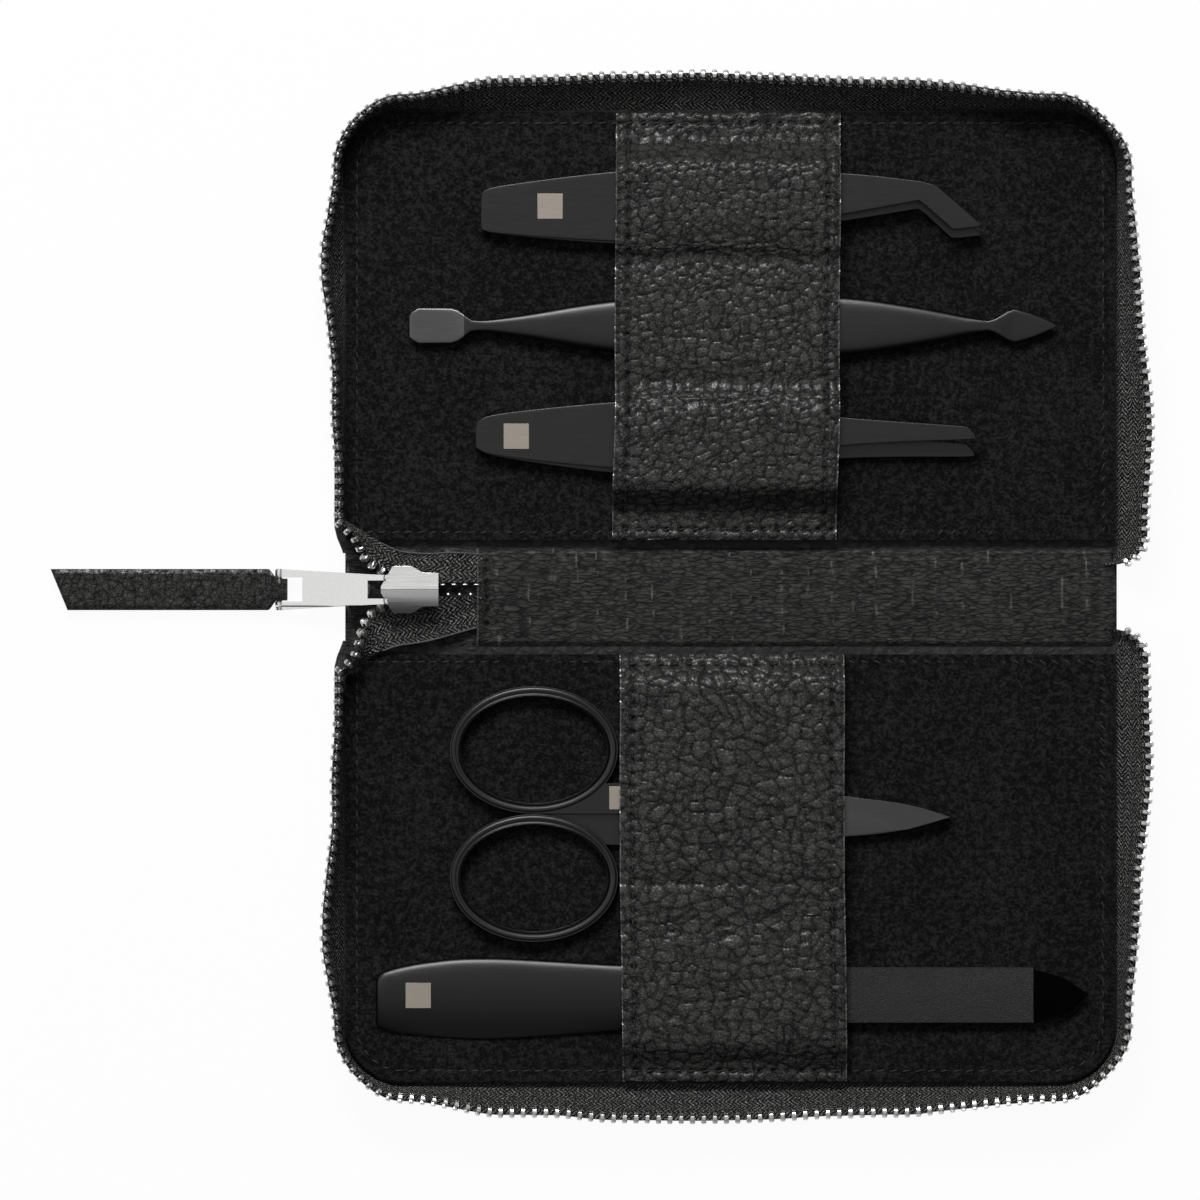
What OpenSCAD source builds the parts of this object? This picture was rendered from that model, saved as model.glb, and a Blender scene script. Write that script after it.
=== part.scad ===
// Zip-round manicure case, lying open and flat, with its five tools in their straps.
// Millimetres. +X runs along the spine away from the zip pull, +Y towards the upper cover,
// +Z up from the surface that the case lies on.

/* [Case] */
// Length of each cover along the spine
cover_len = 140.2; // [136:0.1:160]
// Depth of each cover, from its fold to its far edge
cover_depth = 79.05; // [77.5:0.05:95]
// Corner radius of each cover's lining
cover_r = 10.5; // [6:0.5:16]
// Distance between the two fold lines
spine_w = 18.8; // [18:0.1:24]
// Thickness of the outer leather
leather_t = 1.2; // [0.8:0.1:1.4]
// Thickness of the stiffener boards
board_t = 1.0; // [0.6:0.1:1.2]
// Thickness of the suede linings
lining_t = 0.8; // [0.5:0.1:1]
// How far the outer leather stands past the linings
leather_margin = 2.0; // [1.5:0.1:3]
// How far boards and linings stay back from the fold
fold_gap = 1.0; // [0.9:0.1:2]

/* [Zip] */
// Height of the standing tape, from the leather to the middle of its teeth
tape_reach = 8.4; // [6:0.1:8.4]
// Thickness of the tape
tape_t = 0.6; // [0.4:0.1:0.8]
// Distance from tooth to tooth
tooth_pitch = 2.05; // [1.8:0.05:3]
// Width of a tooth along the tape
tooth_w = 0.95; // [0.6:0.05:1.2]
// Length of a tooth across the tape
tooth_len = 1.7; // [1.2:0.1:1.8]
// Thickness of a tooth
tooth_t = 2.0; // [1.4:0.1:2.2]
// Outward lean of the tape at the middle of the far edge
lean_far = 5.8; // [2:0.1:7.5]
// Outward lean of the tape at the pull end
lean_pull_end = 3.0; // [0.5:0.1:4]
// Outward lean of the tape at the free end
lean_free_end = 5.2; // [2:0.1:7]
// Outward lean of the tape round the corners
lean_corner = 0.6; // [0.4:0.1:2]
// Distance from the fold to where the standing tape begins at the pull end
bridge_gap = 5.0; // [4:0.5:8]

/* [Slider] */
// Offset of the zip's middle line from the spine's middle
zip_y = 1.35; // [0:0.05:1.5]
// Distance from the lining's pull end to the slider's nose
slider_in = 6.6; // [5:0.1:9]
// Length of the slider
slider_len = 10.5; // [10:0.1:12]
// Width of the slider at its shoulders
slider_w = 8.7; // [8:0.1:10]
// Width of the slider at its tail
slider_tail_w = 6.2; // [5.8:0.1:7]
// Thickness of each slider plate
plate_t = 0.9; // [0.6:0.1:1]
// Height of the channel between the slider's plates
channel_h = 2.4; // [2.3:0.1:3]
// Height of the bridge over the slider's top plate
bridge_h = 2.3; // [2.2:0.1:3]
// Travel of the slider over the closed teeth
slider_travel = 3.0; // [1:0.5:3]
// Length of sewn tape left behind the slider's furthest place
tape_rest = 4.3; // [4:0.1:8]

/* [Pull] */
// Length of the metal pull between its two pins
pull_len = 20.4; // [16:0.1:24]
// Width of the metal pull at the leather end
pull_w = 7.5; // [6:0.1:7.5]
// Width of the metal pull at the slider end
pull_neck_w = 5.3; // [4.8:0.1:5.4]
// Thickness of the metal pull
pull_t = 1.1; // [0.8:0.1:1.2]
// Slope of the metal pull, down to the surface
pull_slope = 15.0; // [15:0.1:16]
// Radius of the pull's pins
pin_r = 0.55; // [0.4:0.05:0.6]
// Length of the leather strip past the pull's outer pin
strip_len = 41.7; // [25:0.1:50]
// Width of the leather strip
strip_w = 7.5; // [5:0.1:8]
// Thickness of the doubled leather strip
strip_t = 2.2; // [1.6:0.1:2.6]

/* [Straps] */
// Width of each strap along the spine
strap_w = 40.8; // [30:0.1:41]
// Thickness of the strap leather
strap_t = 1.2; // [0.8:0.1:1.4]
// Place of the upper strap along the case, from the lining's pull end
upper_strap_x = 48.8; // [45:0.1:52]
// Place of the lower strap along the case, from the lining's pull end
lower_strap_x = 50.1; // [50:0.1:53]
// Longest run over which a strap rises beside a tool
strap_rise = 5.5; // [4:0.5:9]
// Clearance between a strap and the tools under it
strap_gap = 0.3; // [0.2:0.05:0.5]

/* [Tweezers] */
// Length of each pair of tweezers
tweezer_len = 91.0; // [85:0.5:93]
// Thickness of a tweezer arm
arm_t = 1.2; // [0.8:0.1:1.4]
// Opening between the arms at their tips
tip_gap = 2.4; // [1.5:0.1:2.6]
// Clearance between the two arms where they are welded
weld_gap = 0.04; // [0.02:0.01:0.1]
// Belly width of the bent tweezers
bent_belly = 12.6; // [10:0.1:13]
// Belly width of the slanted tweezers
slant_belly = 12.0; // [10:0.1:12.5]

/* [Cuticle pusher] */
// Length of the pusher
pusher_len = 117.8; // [110:0.1:118]
// Widest part of the pusher's handle
pusher_w = 11.2; // [9:0.1:11.6]
// Thickness of the pusher's handle
pusher_t = 3.0; // [2:0.1:3.2]
// Width of the paddle
paddle_w = 6.35; // [5:0.05:8]
// Width of the nail cleaner at the other end
spade_w = 6.3; // [5:0.1:8]

/* [Scissors] */
// Length of the scissors from ring to tip
scissors_len = 91.1; // [88:0.1:92]
// Thickness of one blade
blade_t = 1.15; // [0.8:0.05:1.2]
// Width of the closed blades at the pivot
blade_w = 7.6; // [6:0.1:9]
// Half length of a finger ring
ring_a = 15.3; // [13:0.1:15.4]
// Half width of a finger ring
ring_b = 11.6; // [10:0.1:11.7]
// Width of the metal round a finger hole
ring_wall = 1.9; // [1.4:0.1:2.6]
// Radius of the pivot pin
pivot_r = 1.2; // [0.8:0.1:1.5]
// Running clearance round the pivot pin
pivot_gap = 0.05; // [0.02:0.01:0.1]
// Largest opening of the scissors under their strap, in degrees
scissors_open = 10; // [4:1:10]

/* [Nail file] */
// Length of the file from end to tip
file_len = 129.6; // [110:0.1:130]
// Widest part of the file's handle
file_handle_w = 14.8; // [12:0.1:15]
// Thickness of the file's handle
file_handle_t = 2.6; // [2:0.1:3]
// Length of the file's handle
file_handle_len = 65.3; // [60:0.1:68]
// Width of the file's blade
file_blade_w = 10.1; // [8:0.1:10.4]
// Thickness of the file's blade
file_blade_t = 1.0; // [0.6:0.1:1.4]
// Length of the file's pointed tip
file_tip_len = 10.1; // [6:0.1:14]

/* [Tool places] */
// Bent tweezers: butt, from the lining's pull end
bent_x = 24.8; // [23:0.1:26]
// Bent tweezers: middle line, from the upper fold
bent_y = 60.7; // [60.4:0.1:61]
// Pusher: paddle end, from the lining's pull end
pusher_x = 11.7; // [10.5:0.1:13]
// Pusher: middle line, from the upper fold
pusher_y = 39.9; // [39.5:0.1:40.3]
// Slanted tweezers: butt, from the lining's pull end
slant_x = 23.85; // [22:0.05:25]
// Slanted tweezers: middle line, from the upper fold
slant_y = 19.8; // [19.6:0.1:20.4]
// Scissors: ring end, from the lining's pull end
scissors_x = 19.1; // [18:0.1:19.4]
// Scissors: pivot line, from the lower fold
scissors_y = 30.6; // [30:0.1:31]
// File: handle end, from the lining's pull end
file_x = 5.7; // [5.5:0.1:6.5]
// File: middle line, from the lower fold
file_y = 63.0; // [62.6:0.1:63.4]
// Side of the square badges
badge_s = 4.6; // [3:0.1:5]

/* [Hidden] */

// colours
black_leather = [0.09, 0.09, 0.09];
black_suede = [0.05, 0.05, 0.05];
black_tape = [0.13, 0.13, 0.13];
black_steel = [0.16, 0.16, 0.17];
grey_board = [0.35, 0.33, 0.3];
silver = [0.78, 0.78, 0.8];
pale_gold = [0.72, 0.68, 0.6];

// small clearances and counts
touch = 0.02;
tool_gap = 0.05;
curve_n = 6;
far_n = 24;
corner_n = 8;
side_n = 16;
ring_n = 48;

// the case, placed so that the whole open object is centred on the origin
pin_in = 1.15;
slope_run = pull_len * cos(pull_slope);
pull_out = slope_run + strip_len - slider_in - pin_in;
tape_base = 0.35;
lean_cos = sqrt(1 - pow(lean_free_end / tape_reach, 2));
free_out = tape_base + tape_t / 2 + lean_free_end * (1 + tooth_len / 2 / tape_reach)
  + tooth_t / 2 * lean_cos;
case_x0 = (pull_out - cover_len - free_out) / 2;
case_x1 = case_x0 + cover_len;
fold_y = spine_w / 2;
board_z = leather_t;
lining_z = board_z + board_t;
floor_z = lining_z + lining_t;
spine_top = leather_t + lining_t;
tool_z = floor_z + tool_gap;

// the slider's levels
slider_x0 = case_x0 + slider_in;
slider_z0 = spine_top + 0.1;
channel_z = slider_z0 + plate_t;
zip_z = channel_z + channel_h / 2;
top_z = channel_z + channel_h;
bridge_z = top_z + plate_t;
tape_tail = slider_len + slider_travel + tape_rest;
pin_x = slider_x0 + pin_in;
pin_z = bridge_z + 0.9;
outer_pin_x = pin_x - slope_run;
outer_pin_z = pin_z - pull_len * sin(pull_slope);

// a smooth line through a list of points
function hermite(a, b, c, d, t) =
  0.5 * (2 * b + (c - a) * t + (2 * a - 5 * b + 4 * c - d) * t * t
  + (3 * b - a - 3 * c + d) * t * t * t);
function at(p, i) = p[max(0, min(len(p) - 1, i))];
function smooth_line(p, n) = concat(
  [for (i = [0:len(p) - 2], k = [0:n - 1])
    hermite(at(p, i - 1), p[i], p[i + 1], at(p, i + 2), k / n)],
  [p[len(p) - 1]]);
function reverse(p) = [for (i = [len(p) - 1:-1:0]) p[i]];
function ease(t) = let (u = max(0, min(1, t))) u * u * (3 - 2 * u);
function ellipse(cx, cy, a, b) =
  [for (i = [0:ring_n - 1]) [cx + a * cos(360 * i / ring_n), cy + b * sin(360 * i / ring_n)]];

// ---------------------------------------------------------------- covers

// plate with the plan of one cover, from the fold out to its two round far corners
module cover_plate(grow, back, z, t) {
  r = cover_r + grow;
  far = fold_y + cover_depth + grow;
  translate([0, 0, z]) linear_extrude(t) union() {
    translate([case_x0 - grow, fold_y + back])
      square([cover_len + 2 * grow, cover_depth + grow - back - r]);
    translate([case_x0 - grow + r, far - r - 1])
      square([cover_len + 2 * grow - 2 * r, r + 1]);
    for (x = [case_x0 - grow + r, case_x1 + grow - r])
      translate([x, far - r]) circle(r, $fn = 64);
  }
}

module cover_leather() {
  color(black_leather) cover_plate(leather_margin, touch, 0, leather_t);
}

module cover_board() {
  color(grey_board) cover_plate(-0.6, fold_gap, board_z, board_t);
}

module cover_lining() {
  color(black_suede) cover_plate(0, fold_gap, lining_z, lining_t);
}

module spine_leather() {
  color(black_leather)
    translate([case_x0, -fold_y + touch, 0])
      cube([cover_len + 0.4, spine_w - 2 * touch, leather_t]);
}

module spine_lining() {
  color(black_leather)
    translate([case_x0 + 0.6, -fold_y + fold_gap, leather_t])
      cube([cover_len - 0.6, spine_w - 2 * fold_gap, lining_t]);
}

// ---------------------------------------------------------------- zip tape

// lengths of the runs of a cover's edge: pull end, corner, far edge, corner, free end
run_side = cover_depth - cover_r;
run_pull = run_side - bridge_gap;
run_free = run_side - 0.5;
run_corner = 90 * cover_r * PI / 180;
run_far = cover_len - 2 * cover_r;
edge_len = run_pull + run_far + run_free + 2 * run_corner;

// point on a cover's edge at distance s, with its outward direction as the third value
function edge_at(s) =
  let (a = s - run_pull, b = a - run_corner, c = b - run_far, d = c - run_corner)
  a < 0 ? [case_x0, fold_y + bridge_gap + s, 180] :
  b < 0 ? let (w = 180 - 90 * a / run_corner)
    [case_x0 + cover_r * (1 + cos(w)), fold_y + run_side + cover_r * sin(w), w] :
  c < 0 ? [case_x0 + cover_r + b, fold_y + cover_depth, 90] :
  d < 0 ? let (w = 90 - 90 * c / run_corner)
    [case_x1 - cover_r * (1 - cos(w)), fold_y + run_side + cover_r * sin(w), w] :
  [case_x1, fold_y + run_side - d, 0];

// how far the tape leans out at distance s: it swells along each run, least at the corners
lean_places = [
  [0, 0.06 * lean_pull_end], [0.35 * run_pull, 0.3 * lean_pull_end],
  [0.75 * run_pull, lean_pull_end], [run_pull, 1.4 * lean_corner],
  [run_pull + 0.5 * run_corner, lean_corner], [run_pull + run_corner, 0.3 * lean_far],
  [run_pull + run_corner + 0.15 * run_far, 0.78 * lean_far],
  [run_pull + run_corner + 0.45 * run_far, lean_far],
  [run_pull + run_corner + 0.75 * run_far, 0.75 * lean_far],
  [run_pull + run_corner + run_far, 0.3 * lean_far],
  [run_pull + 1.5 * run_corner + run_far, lean_corner],
  [run_pull + 2 * run_corner + run_far, 0.25 * lean_free_end],
  [edge_len - 0.65 * run_free, 0.62 * lean_free_end],
  [edge_len - 0.3 * run_free, lean_free_end], [edge_len, 0.85 * lean_free_end]
];
function lean_between(s, i) =
  let (a = lean_places[i], b = lean_places[i + 1])
  a[1] + (b[1] - a[1]) * ease((s - a[0]) / (b[0] - a[0]));
function lean_at(s, i = 0) =
  i >= len(lean_places) - 2 || s <= lean_places[i + 1][0] ?
  lean_between(s, i) : lean_at(s, i + 1);

// point on the tape at distance s along it and u up its slope, moved out by t
function tape_at(s, u, t) =
  let (e = edge_at(s), lean = lean_at(s), rise = sqrt(pow(tape_reach, 2) - pow(lean, 2)),
    out = tape_base + lean * u / tape_reach + t)
  [e[0] + out * cos(e[2]), e[1] + out * sin(e[2]), leather_t + touch + rise * u / tape_reach];

// distances at which the tape is given a cross-section
tape_stations = concat(
  [for (i = [0:side_n - 1]) run_pull * i / side_n],
  [for (i = [0:corner_n - 1]) run_pull + run_corner * i / corner_n],
  [for (i = [0:far_n - 1]) run_pull + run_corner + run_far * i / far_n],
  [for (i = [0:corner_n - 1]) run_pull + run_corner + run_far + run_corner * i / corner_n],
  [for (i = [0:side_n]) edge_len - run_free * (1 - i / side_n)]);

// closed strip through rings of four points each
module strip(rings) {
  n = len(rings);
  polyhedron(
    points = [for (r = rings, p = r) p],
    faces = concat([[3, 2, 1, 0]], [[4 * n - 4, 4 * n - 3, 4 * n - 2, 4 * n - 1]],
      [for (i = [0:n - 2], k = [0:3])
        [4 * i + k, 4 * i + (k + 1) % 4, 4 * i + 4 + (k + 1) % 4]],
      [for (i = [0:n - 2], k = [0:3])
        [4 * i + k, 4 * i + 4 + (k + 1) % 4, 4 * i + 4 + k]]));
}

// solid through rings of four points each, joined pair by pair where a strip would fold over
module chain(rings) {
  for (i = [0:len(rings) - 2]) hull()
    polyhedron(points = concat(rings[i], rings[i + 1]),
      faces = [[0, 1, 2, 3], [4, 5, 6, 7], [0, 1, 5, 4]]);
}

module cover_tape() {
  top = tape_reach - tooth_len / 2 - touch;
  color(black_tape) strip([for (s = tape_stations)
    [tape_at(s, 0, 0), tape_at(s, 0, tape_t), tape_at(s, top, tape_t), tape_at(s, top, 0)]]);
}

// one tooth standing on the tape's edge, facing the way the edge faces
module tooth() {
  translate([-tooth_t / 2, -tooth_w / 2, -tooth_len / 2]) cube([tooth_t, tooth_w, tooth_len]);
}

module cover_teeth() {
  count = floor((edge_len - tooth_w) / tooth_pitch);
  color(silver) for (k = [0:count]) {
    s = tooth_w / 2 + k * tooth_pitch;
    translate(tape_at(s, tape_reach, tape_t / 2))
      rotate([0, 0, edge_at(s)[2]]) rotate([0, asin(lean_at(s) / tape_reach), 0]) tooth();
  }
}

// ---------------------------------------------------------------- zip start

// the line of the teeth from a cover down to the slider and on to the sewn tail;
// side is 1 at the upper cover and -1 at the lower one
tail_x = slider_x0 + tape_tail;
tooth_in = 0.6;
start_drop = 1.3;
function flip(p, side) = [p[0], side * p[1], p[2]];
function tooth_lead(side) = smooth_line([
  flip(tape_at(-tooth_w, tape_reach, tape_t / 2), side),
  [slider_x0 - 4.6, side * (fold_y + 1.4), zip_z + 4.4],
  [slider_x0 - 2.6, zip_y + side * 5.4, zip_z + 2.0],
  [slider_x0 + 0.6, zip_y + side * 3.0, zip_z],
  [slider_x0 + 3.4, zip_y + side * 1.8, zip_z],
  [slider_x0 + 6.2, zip_y + side * tooth_in, zip_z],
  [slider_x0 + 12, zip_y + side * tooth_in, zip_z],
  [tail_x, zip_y + side * tooth_in, zip_z]], 3);
// the sewn edge of the same tape, over the lining's corner and along the spine
function sewn_lead(side) = smooth_line([
  flip(tape_at(0, 0, tape_t / 2) + [0, -touch, floor_z - leather_t + 0.4], side),
  [slider_x0 - 4.2, side * (fold_y + 3.0), floor_z + 0.8],
  [slider_x0 - 0.6, side * (fold_y + 0.8), floor_z + 0.8],
  [slider_x0 + 3.0, side * (fold_y - 0.9), zip_z - 0.5],
  [slider_x0 + 6.2, side * (fold_y - 1.4), zip_z - 0.5],
  [slider_x0 + 9.4, side * (fold_y - 1.4), zip_z - 0.5],
  [slider_x0 + 13, side * (fold_y - 1.4), zip_z - 0.5],
  [tail_x, side * (fold_y - 1.6), spine_top + tape_t / 2 + 0.1]], 3);
function unit(v) = v / norm(v);

module tape_bridge(side) {
  lead = tooth_lead(side);
  sewn = sewn_lead(side);
  n = len(lead) - 1;
  // the sheet turns from standing at the cover to lying flat at the slider
  rings = [for (i = [0:n]) let (
    turn = ease(2 * i / n),
    thick = unit([-(1 - turn), 0, turn]) * tape_t / 2,
    edge = lead[i] + unit(sewn[i] - lead[i]) * start_drop)
    [sewn[i] - thick, sewn[i] + thick, edge + thick, edge - thick]];
  color(black_tape) chain(rings);
}

// point and heading at distance s along a line of points
function walk(p, s, i = 0) =
  let (d = norm(p[i + 1] - p[i]))
  s <= d || i >= len(p) - 2 ? [p[i] + (p[i + 1] - p[i]) * s / d, unit(p[i + 1] - p[i])] :
  walk(p, s - d, i + 1);
function path_len(p, i = 0) =
  i >= len(p) - 1 ? 0 : norm(p[i + 1] - p[i]) + path_len(p, i + 1);

// teeth along both leads whose places lie between two distances from the slider's nose
module lead_teeth(from, to) {
  color(silver) for (side = [-1, 1]) {
    lead = tooth_lead(side);
    // counted back from the tail, so that the two rows interleave behind the slider
    full = path_len(lead);
    first = tooth_w / 2 + (side > 0 ? 0 : tooth_pitch / 2);
    count = floor((full - first - tooth_pitch) / tooth_pitch);
    for (k = [0:count]) {
      spot = walk(lead, full - first - k * tooth_pitch);
      if (spot[0][0] >= slider_x0 + from && spot[0][0] < slider_x0 + to)
        translate(spot[0]) rotate([0, 0, atan2(spot[1][1], spot[1][0])])
          translate([-tooth_w / 2, -tooth_len / 2, -tooth_t / 2])
            cube([tooth_w, tooth_len, tooth_t]);
    }
  }
}

// the teeth are closed behind this distance from the nose
closed_from = 6.0;
module bridge_teeth() { lead_teeth(-20, closed_from); }
module zip_start_teeth() { lead_teeth(closed_from, tape_tail); }

// ---------------------------------------------------------------- slider and pull

// arrow-shaped plan of the slider, nose at the origin, with waisted flanks behind its shoulders
shoulder_x0 = 2.1;
shoulder_x1 = 5.2;
tail_start = 8.2;
nose_w = 1.2;
module slider_plan(in) {
  w = slider_w / 2 - in;
  waist = slider_tail_w / 2 - in - w;
  flank = concat([[in, nose_w / 2], [shoulder_x0, w - 0.2], [shoulder_x0 + 0.3, w]],
    [for (i = [0:curve_n])
      [shoulder_x1 + (tail_start - shoulder_x1) * i / curve_n, w + waist * ease(i / curve_n)]],
    [[slider_len, w + waist]]);
  polygon(closed(flank));
}

module slider_body() {
  post_w = 1.6;
  flange_w = 0.6;
  flange_h = 0.6;
  color(silver) translate([slider_x0, zip_y, 0]) {
    translate([0, 0, slider_z0]) linear_extrude(plate_t) slider_plan(0);
    translate([0, 0, top_z]) linear_extrude(plate_t) slider_plan(0);
    translate([0.4, -post_w / 2, channel_z - touch]) cube([1.8, post_w, channel_h + 2 * touch]);
    for (side = [-1, 1])
      translate([tail_start, side * (slider_tail_w - flange_w) / 2 - flange_w / 2, top_z - flange_h])
        cube([slider_len - tail_start, flange_w, flange_h + touch]);
  }
}

// roofed cover over the slider's top plate, bored for the pull's inner pin
module slider_bridge() {
  eave_z = bridge_h - 1.4;
  arm_w = (pull_neck_w - pull_slot_w) / 2;
  swing_gap = 0.15;
  color(silver) difference() {
    intersection() {
      translate([slider_x0, zip_y, bridge_z]) linear_extrude(bridge_h) slider_plan(0.1);
      translate([slider_x0 - 1, zip_y, bridge_z]) rotate([90, 0, 90]) linear_extrude(slider_len + 2)
        polygon([[-slider_w, 0], [slider_w, 0], [slider_w, eave_z], [0, bridge_h],
          [-slider_w, eave_z]]);
    }
    translate([pin_x, zip_y, pin_z]) rotate([90, 0, 0])
      cylinder(h = slider_w, r = pin_r + pivot_gap, center = true, $fn = 48);
    for (side = [-1, 1]) translate([pin_x, zip_y + side * (pull_slot_w / 2 + arm_w / 2), pin_z])
      rotate([90, 0, 0])
        cylinder(h = arm_w + 2 * swing_gap, r = arm_end_r + 0.1, center = true, $fn = 48);
    // room for the pull's two arms to swing up in front of the nose
    for (y = [-pull_neck_w / 2, pull_slot_w / 2])
      translate([slider_x0 - 1, zip_y + y - swing_gap, bridge_z - 1])
        cube([pin_x - slider_x0 + 1, arm_w + 2 * swing_gap, bridge_h + 2]);
  }
}

// the metal pull, drawn flat from its inner pin along -X
pull_slot_w = 3.3;
pull_hole_w = 4.4;
arm_end_r = 0.78;
slot_end = 3.5;
hole_start = 15.9;
module metal_pull() {
  color(silver) translate([pin_x, zip_y, pin_z]) rotate([0, -pull_slope, 0]) mirror([1, 0, 0]) {
    translate([0, 0, -pull_t / 2]) linear_extrude(pull_t) difference() {
      polygon([[0, -pull_neck_w / 2], [0, pull_neck_w / 2], [3, pull_neck_w / 2 + 0.1],
        [pull_len, pull_w / 2], [pull_len, -pull_w / 2], [3, -pull_neck_w / 2 - 0.1]]);
      translate([-1, -pull_slot_w / 2]) square([slot_end + 1, pull_slot_w]);
      translate([hole_start, -pull_hole_w / 2]) square([pull_len, pull_hole_w]);
    }
    for (side = [-1, 1]) {
      translate([0, side * (pull_neck_w + pull_slot_w) / 4, 0]) rotate([90, 0, 0])
        cylinder(h = (pull_neck_w - pull_slot_w) / 2, r = arm_end_r, center = true, $fn = 48);
      translate([pull_len, side * (pull_w + pull_hole_w) / 4, 0]) rotate([90, 0, 0])
        cylinder(h = (pull_w - pull_hole_w) / 2, r = arm_end_r, center = true, $fn = 48);
    }
    rotate([90, 0, 0]) cylinder(h = pull_neck_w, r = pin_r, center = true, $fn = 48);
    translate([pull_len, 0, 0]) rotate([90, 0, 0])
      cylinder(h = pull_w, r = pin_r, center = true, $fn = 48);
  }
}

// the leather strip, looped round the pull's outer pin and doubled back on itself
loop_w = 4.0;
loop_r = 1.75;
strip_slant = 3.1;
module leather_pull() {
  x_end = outer_pin_x - strip_len;
  color(black_leather) difference() {
    union() {
      translate([outer_pin_x, zip_y, outer_pin_z]) rotate([90, 0, 0])
        cylinder(h = loop_w, r = loop_r, center = true, $fn = 48);
      translate([outer_pin_x, zip_y + loop_w / 2, 0]) rotate([90, 0, 0]) linear_extrude(loop_w)
        polygon([[0, outer_pin_z - loop_r], [0, outer_pin_z + loop_r],
          [-2.4, strip_t + 0.4], [-2.4, 0.02]]);
      linear_extrude(strip_t) polygon([
        [outer_pin_x - 2.2, zip_y - strip_w / 2], [outer_pin_x - 2.2, zip_y + strip_w / 2],
        [x_end, zip_y + strip_w / 2], [x_end + strip_slant, zip_y - strip_w / 2]]);
    }
    translate([outer_pin_x, zip_y, outer_pin_z]) rotate([90, 0, 0])
      cylinder(h = strip_w, r = pin_r + 0.15, center = true, $fn = 48);
  }
}

// ---------------------------------------------------------------- straps

// the scissors' own measures, from the pivot: ring end, tip, ring middles, ring height
ring_end = 50.1;
tip_x = scissors_len - ring_end;
ring_x = ring_a - ring_end;
ring_gap = 0.1;
upper_ring_y = ring_b + 0.6;
lower_ring_y = upper_ring_y - 2 * ring_b - ring_gap;
scissors_h = 2 * blade_t + weld_gap + tool_gap;
ring_h = scissors_h - tool_gap;
screw_h = 0.5;

// under a strap each tool has a channel: its near and far edge, from the fold, and its height
// over the lining; between two channels the strap sinks a little
strap_y0 = fold_gap;
strap_y1 = cover_depth - 0.3;
arms_h = 2 * arm_t + weld_gap + tip_gap + tool_gap;
sink_w = 4.4;
slant_edge = slant_y + slant_belly / 2 + 0.5;
bent_edge = bent_y - bent_belly / 2 + 0.5;
upper_channels = [
  [slant_y - slant_belly / 2 - 2.1, slant_edge, arms_h + strap_gap],
  [slant_edge + sink_w, bent_edge - sink_w, pusher_t + tool_gap + strap_gap + 0.1],
  [bent_edge, bent_y + bent_belly / 2 + 0.9, arms_h + strap_gap]
];
// the strap is lifted from the upper ring's edge to where the opened blades reach
ring_edge_y = scissors_y - upper_ring_y - ring_b + 0.6;
blade_swing = (lower_strap_x + strap_w - scissors_x - ring_end) * sin(scissors_open);
blade_edge_y = scissors_y + blade_w / 2 + blade_swing + 2.0;
file_edge = file_handle_w / 2 + strap_gap - 0.4;
lower_channels = [
  [ring_edge_y, blade_edge_y, scissors_h + screw_h + strap_gap],
  [blade_edge_y + sink_w, file_y + file_edge + 0.3, file_handle_t + tool_gap + strap_gap]
];
strap_steps = 90;

// height of the strap's underside over the lining, at distance y from the fold
function channel_h_at(y, c) =
  let (near = min(strap_rise, c[0] - strap_y0), far = min(strap_rise, strap_y1 - c[1]))
  c[2] * ease(1 - (c[0] - y) / near) * ease(1 - (y - c[1]) / far);
function under_at(y, channels) = max([for (c = channels) channel_h_at(y, c)]);

module strap(x, channels) {
  ys = [for (i = [0:strap_steps]) strap_y0 + (strap_y1 - strap_y0) * i / strap_steps];
  under = [for (y = ys) [y, under_at(y, channels)]];
  over = [for (y = ys) [y, strap_t + max(
    under_at(y, channels), under_at(y - strap_t / 2, channels), under_at(y + strap_t / 2, channels))]];
  color(black_leather) translate([case_x0 + x, fold_y, floor_z]) rotate([90, 0, 90])
    linear_extrude(strap_w) polygon(concat(under, reverse(over)));
}

// ---------------------------------------------------------------- tweezers

// outlines of the two upper arms, butt at the origin; the widths follow the belly
bent_outline = concat(
  smooth_line([[0, 3.05], [0.036 * tweezer_len, 0.36 * bent_belly],
    [0.264 * tweezer_len, 0.565 * bent_belly], [0.42 * tweezer_len, 0.6 * bent_belly],
    [0.712 * tweezer_len, 0.545 * bent_belly], [0.876 * tweezer_len, 0.425 * bent_belly]],
    curve_n),
  [[0.907 * tweezer_len, 4.7], [tweezer_len, -2.75], [0.943 * tweezer_len, -3.45]],
  smooth_line([[0.876 * tweezer_len, 1.95], [0.712 * tweezer_len, -0.06 * bent_belly],
    [0.42 * tweezer_len, -0.4 * bent_belly], [0.264 * tweezer_len, -0.43 * bent_belly],
    [0.036 * tweezer_len, -0.32 * bent_belly], [0, -3.05]], curve_n));
slant_outline = concat(
  smooth_line([[0, 2.1], [0.04 * tweezer_len, 0.33 * slant_belly],
    [0.267 * tweezer_len, 0.508 * slant_belly], [0.41 * tweezer_len, 0.525 * slant_belly],
    [0.717 * tweezer_len, 0.29 * slant_belly], [0.985 * tweezer_len, 1.7]], curve_n),
  [[tweezer_len, -0.4]],
  smooth_line([[0.98 * tweezer_len, -0.6], [0.717 * tweezer_len, -0.15 * slant_belly],
    [0.41 * tweezer_len, -0.475 * slant_belly], [0.267 * tweezer_len, -0.475 * slant_belly],
    [0.05 * tweezer_len, -0.3 * slant_belly], [0, -2.1]], curve_n));
spread = asin(tip_gap / tweezer_len);
arm_hinge_x = 1.0;
badge_t = 0.12;

module lower_arm(outline, turn) {
  color(black_steel) rotate([0, 0, -turn]) linear_extrude(arm_t) polygon(outline);
}

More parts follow.
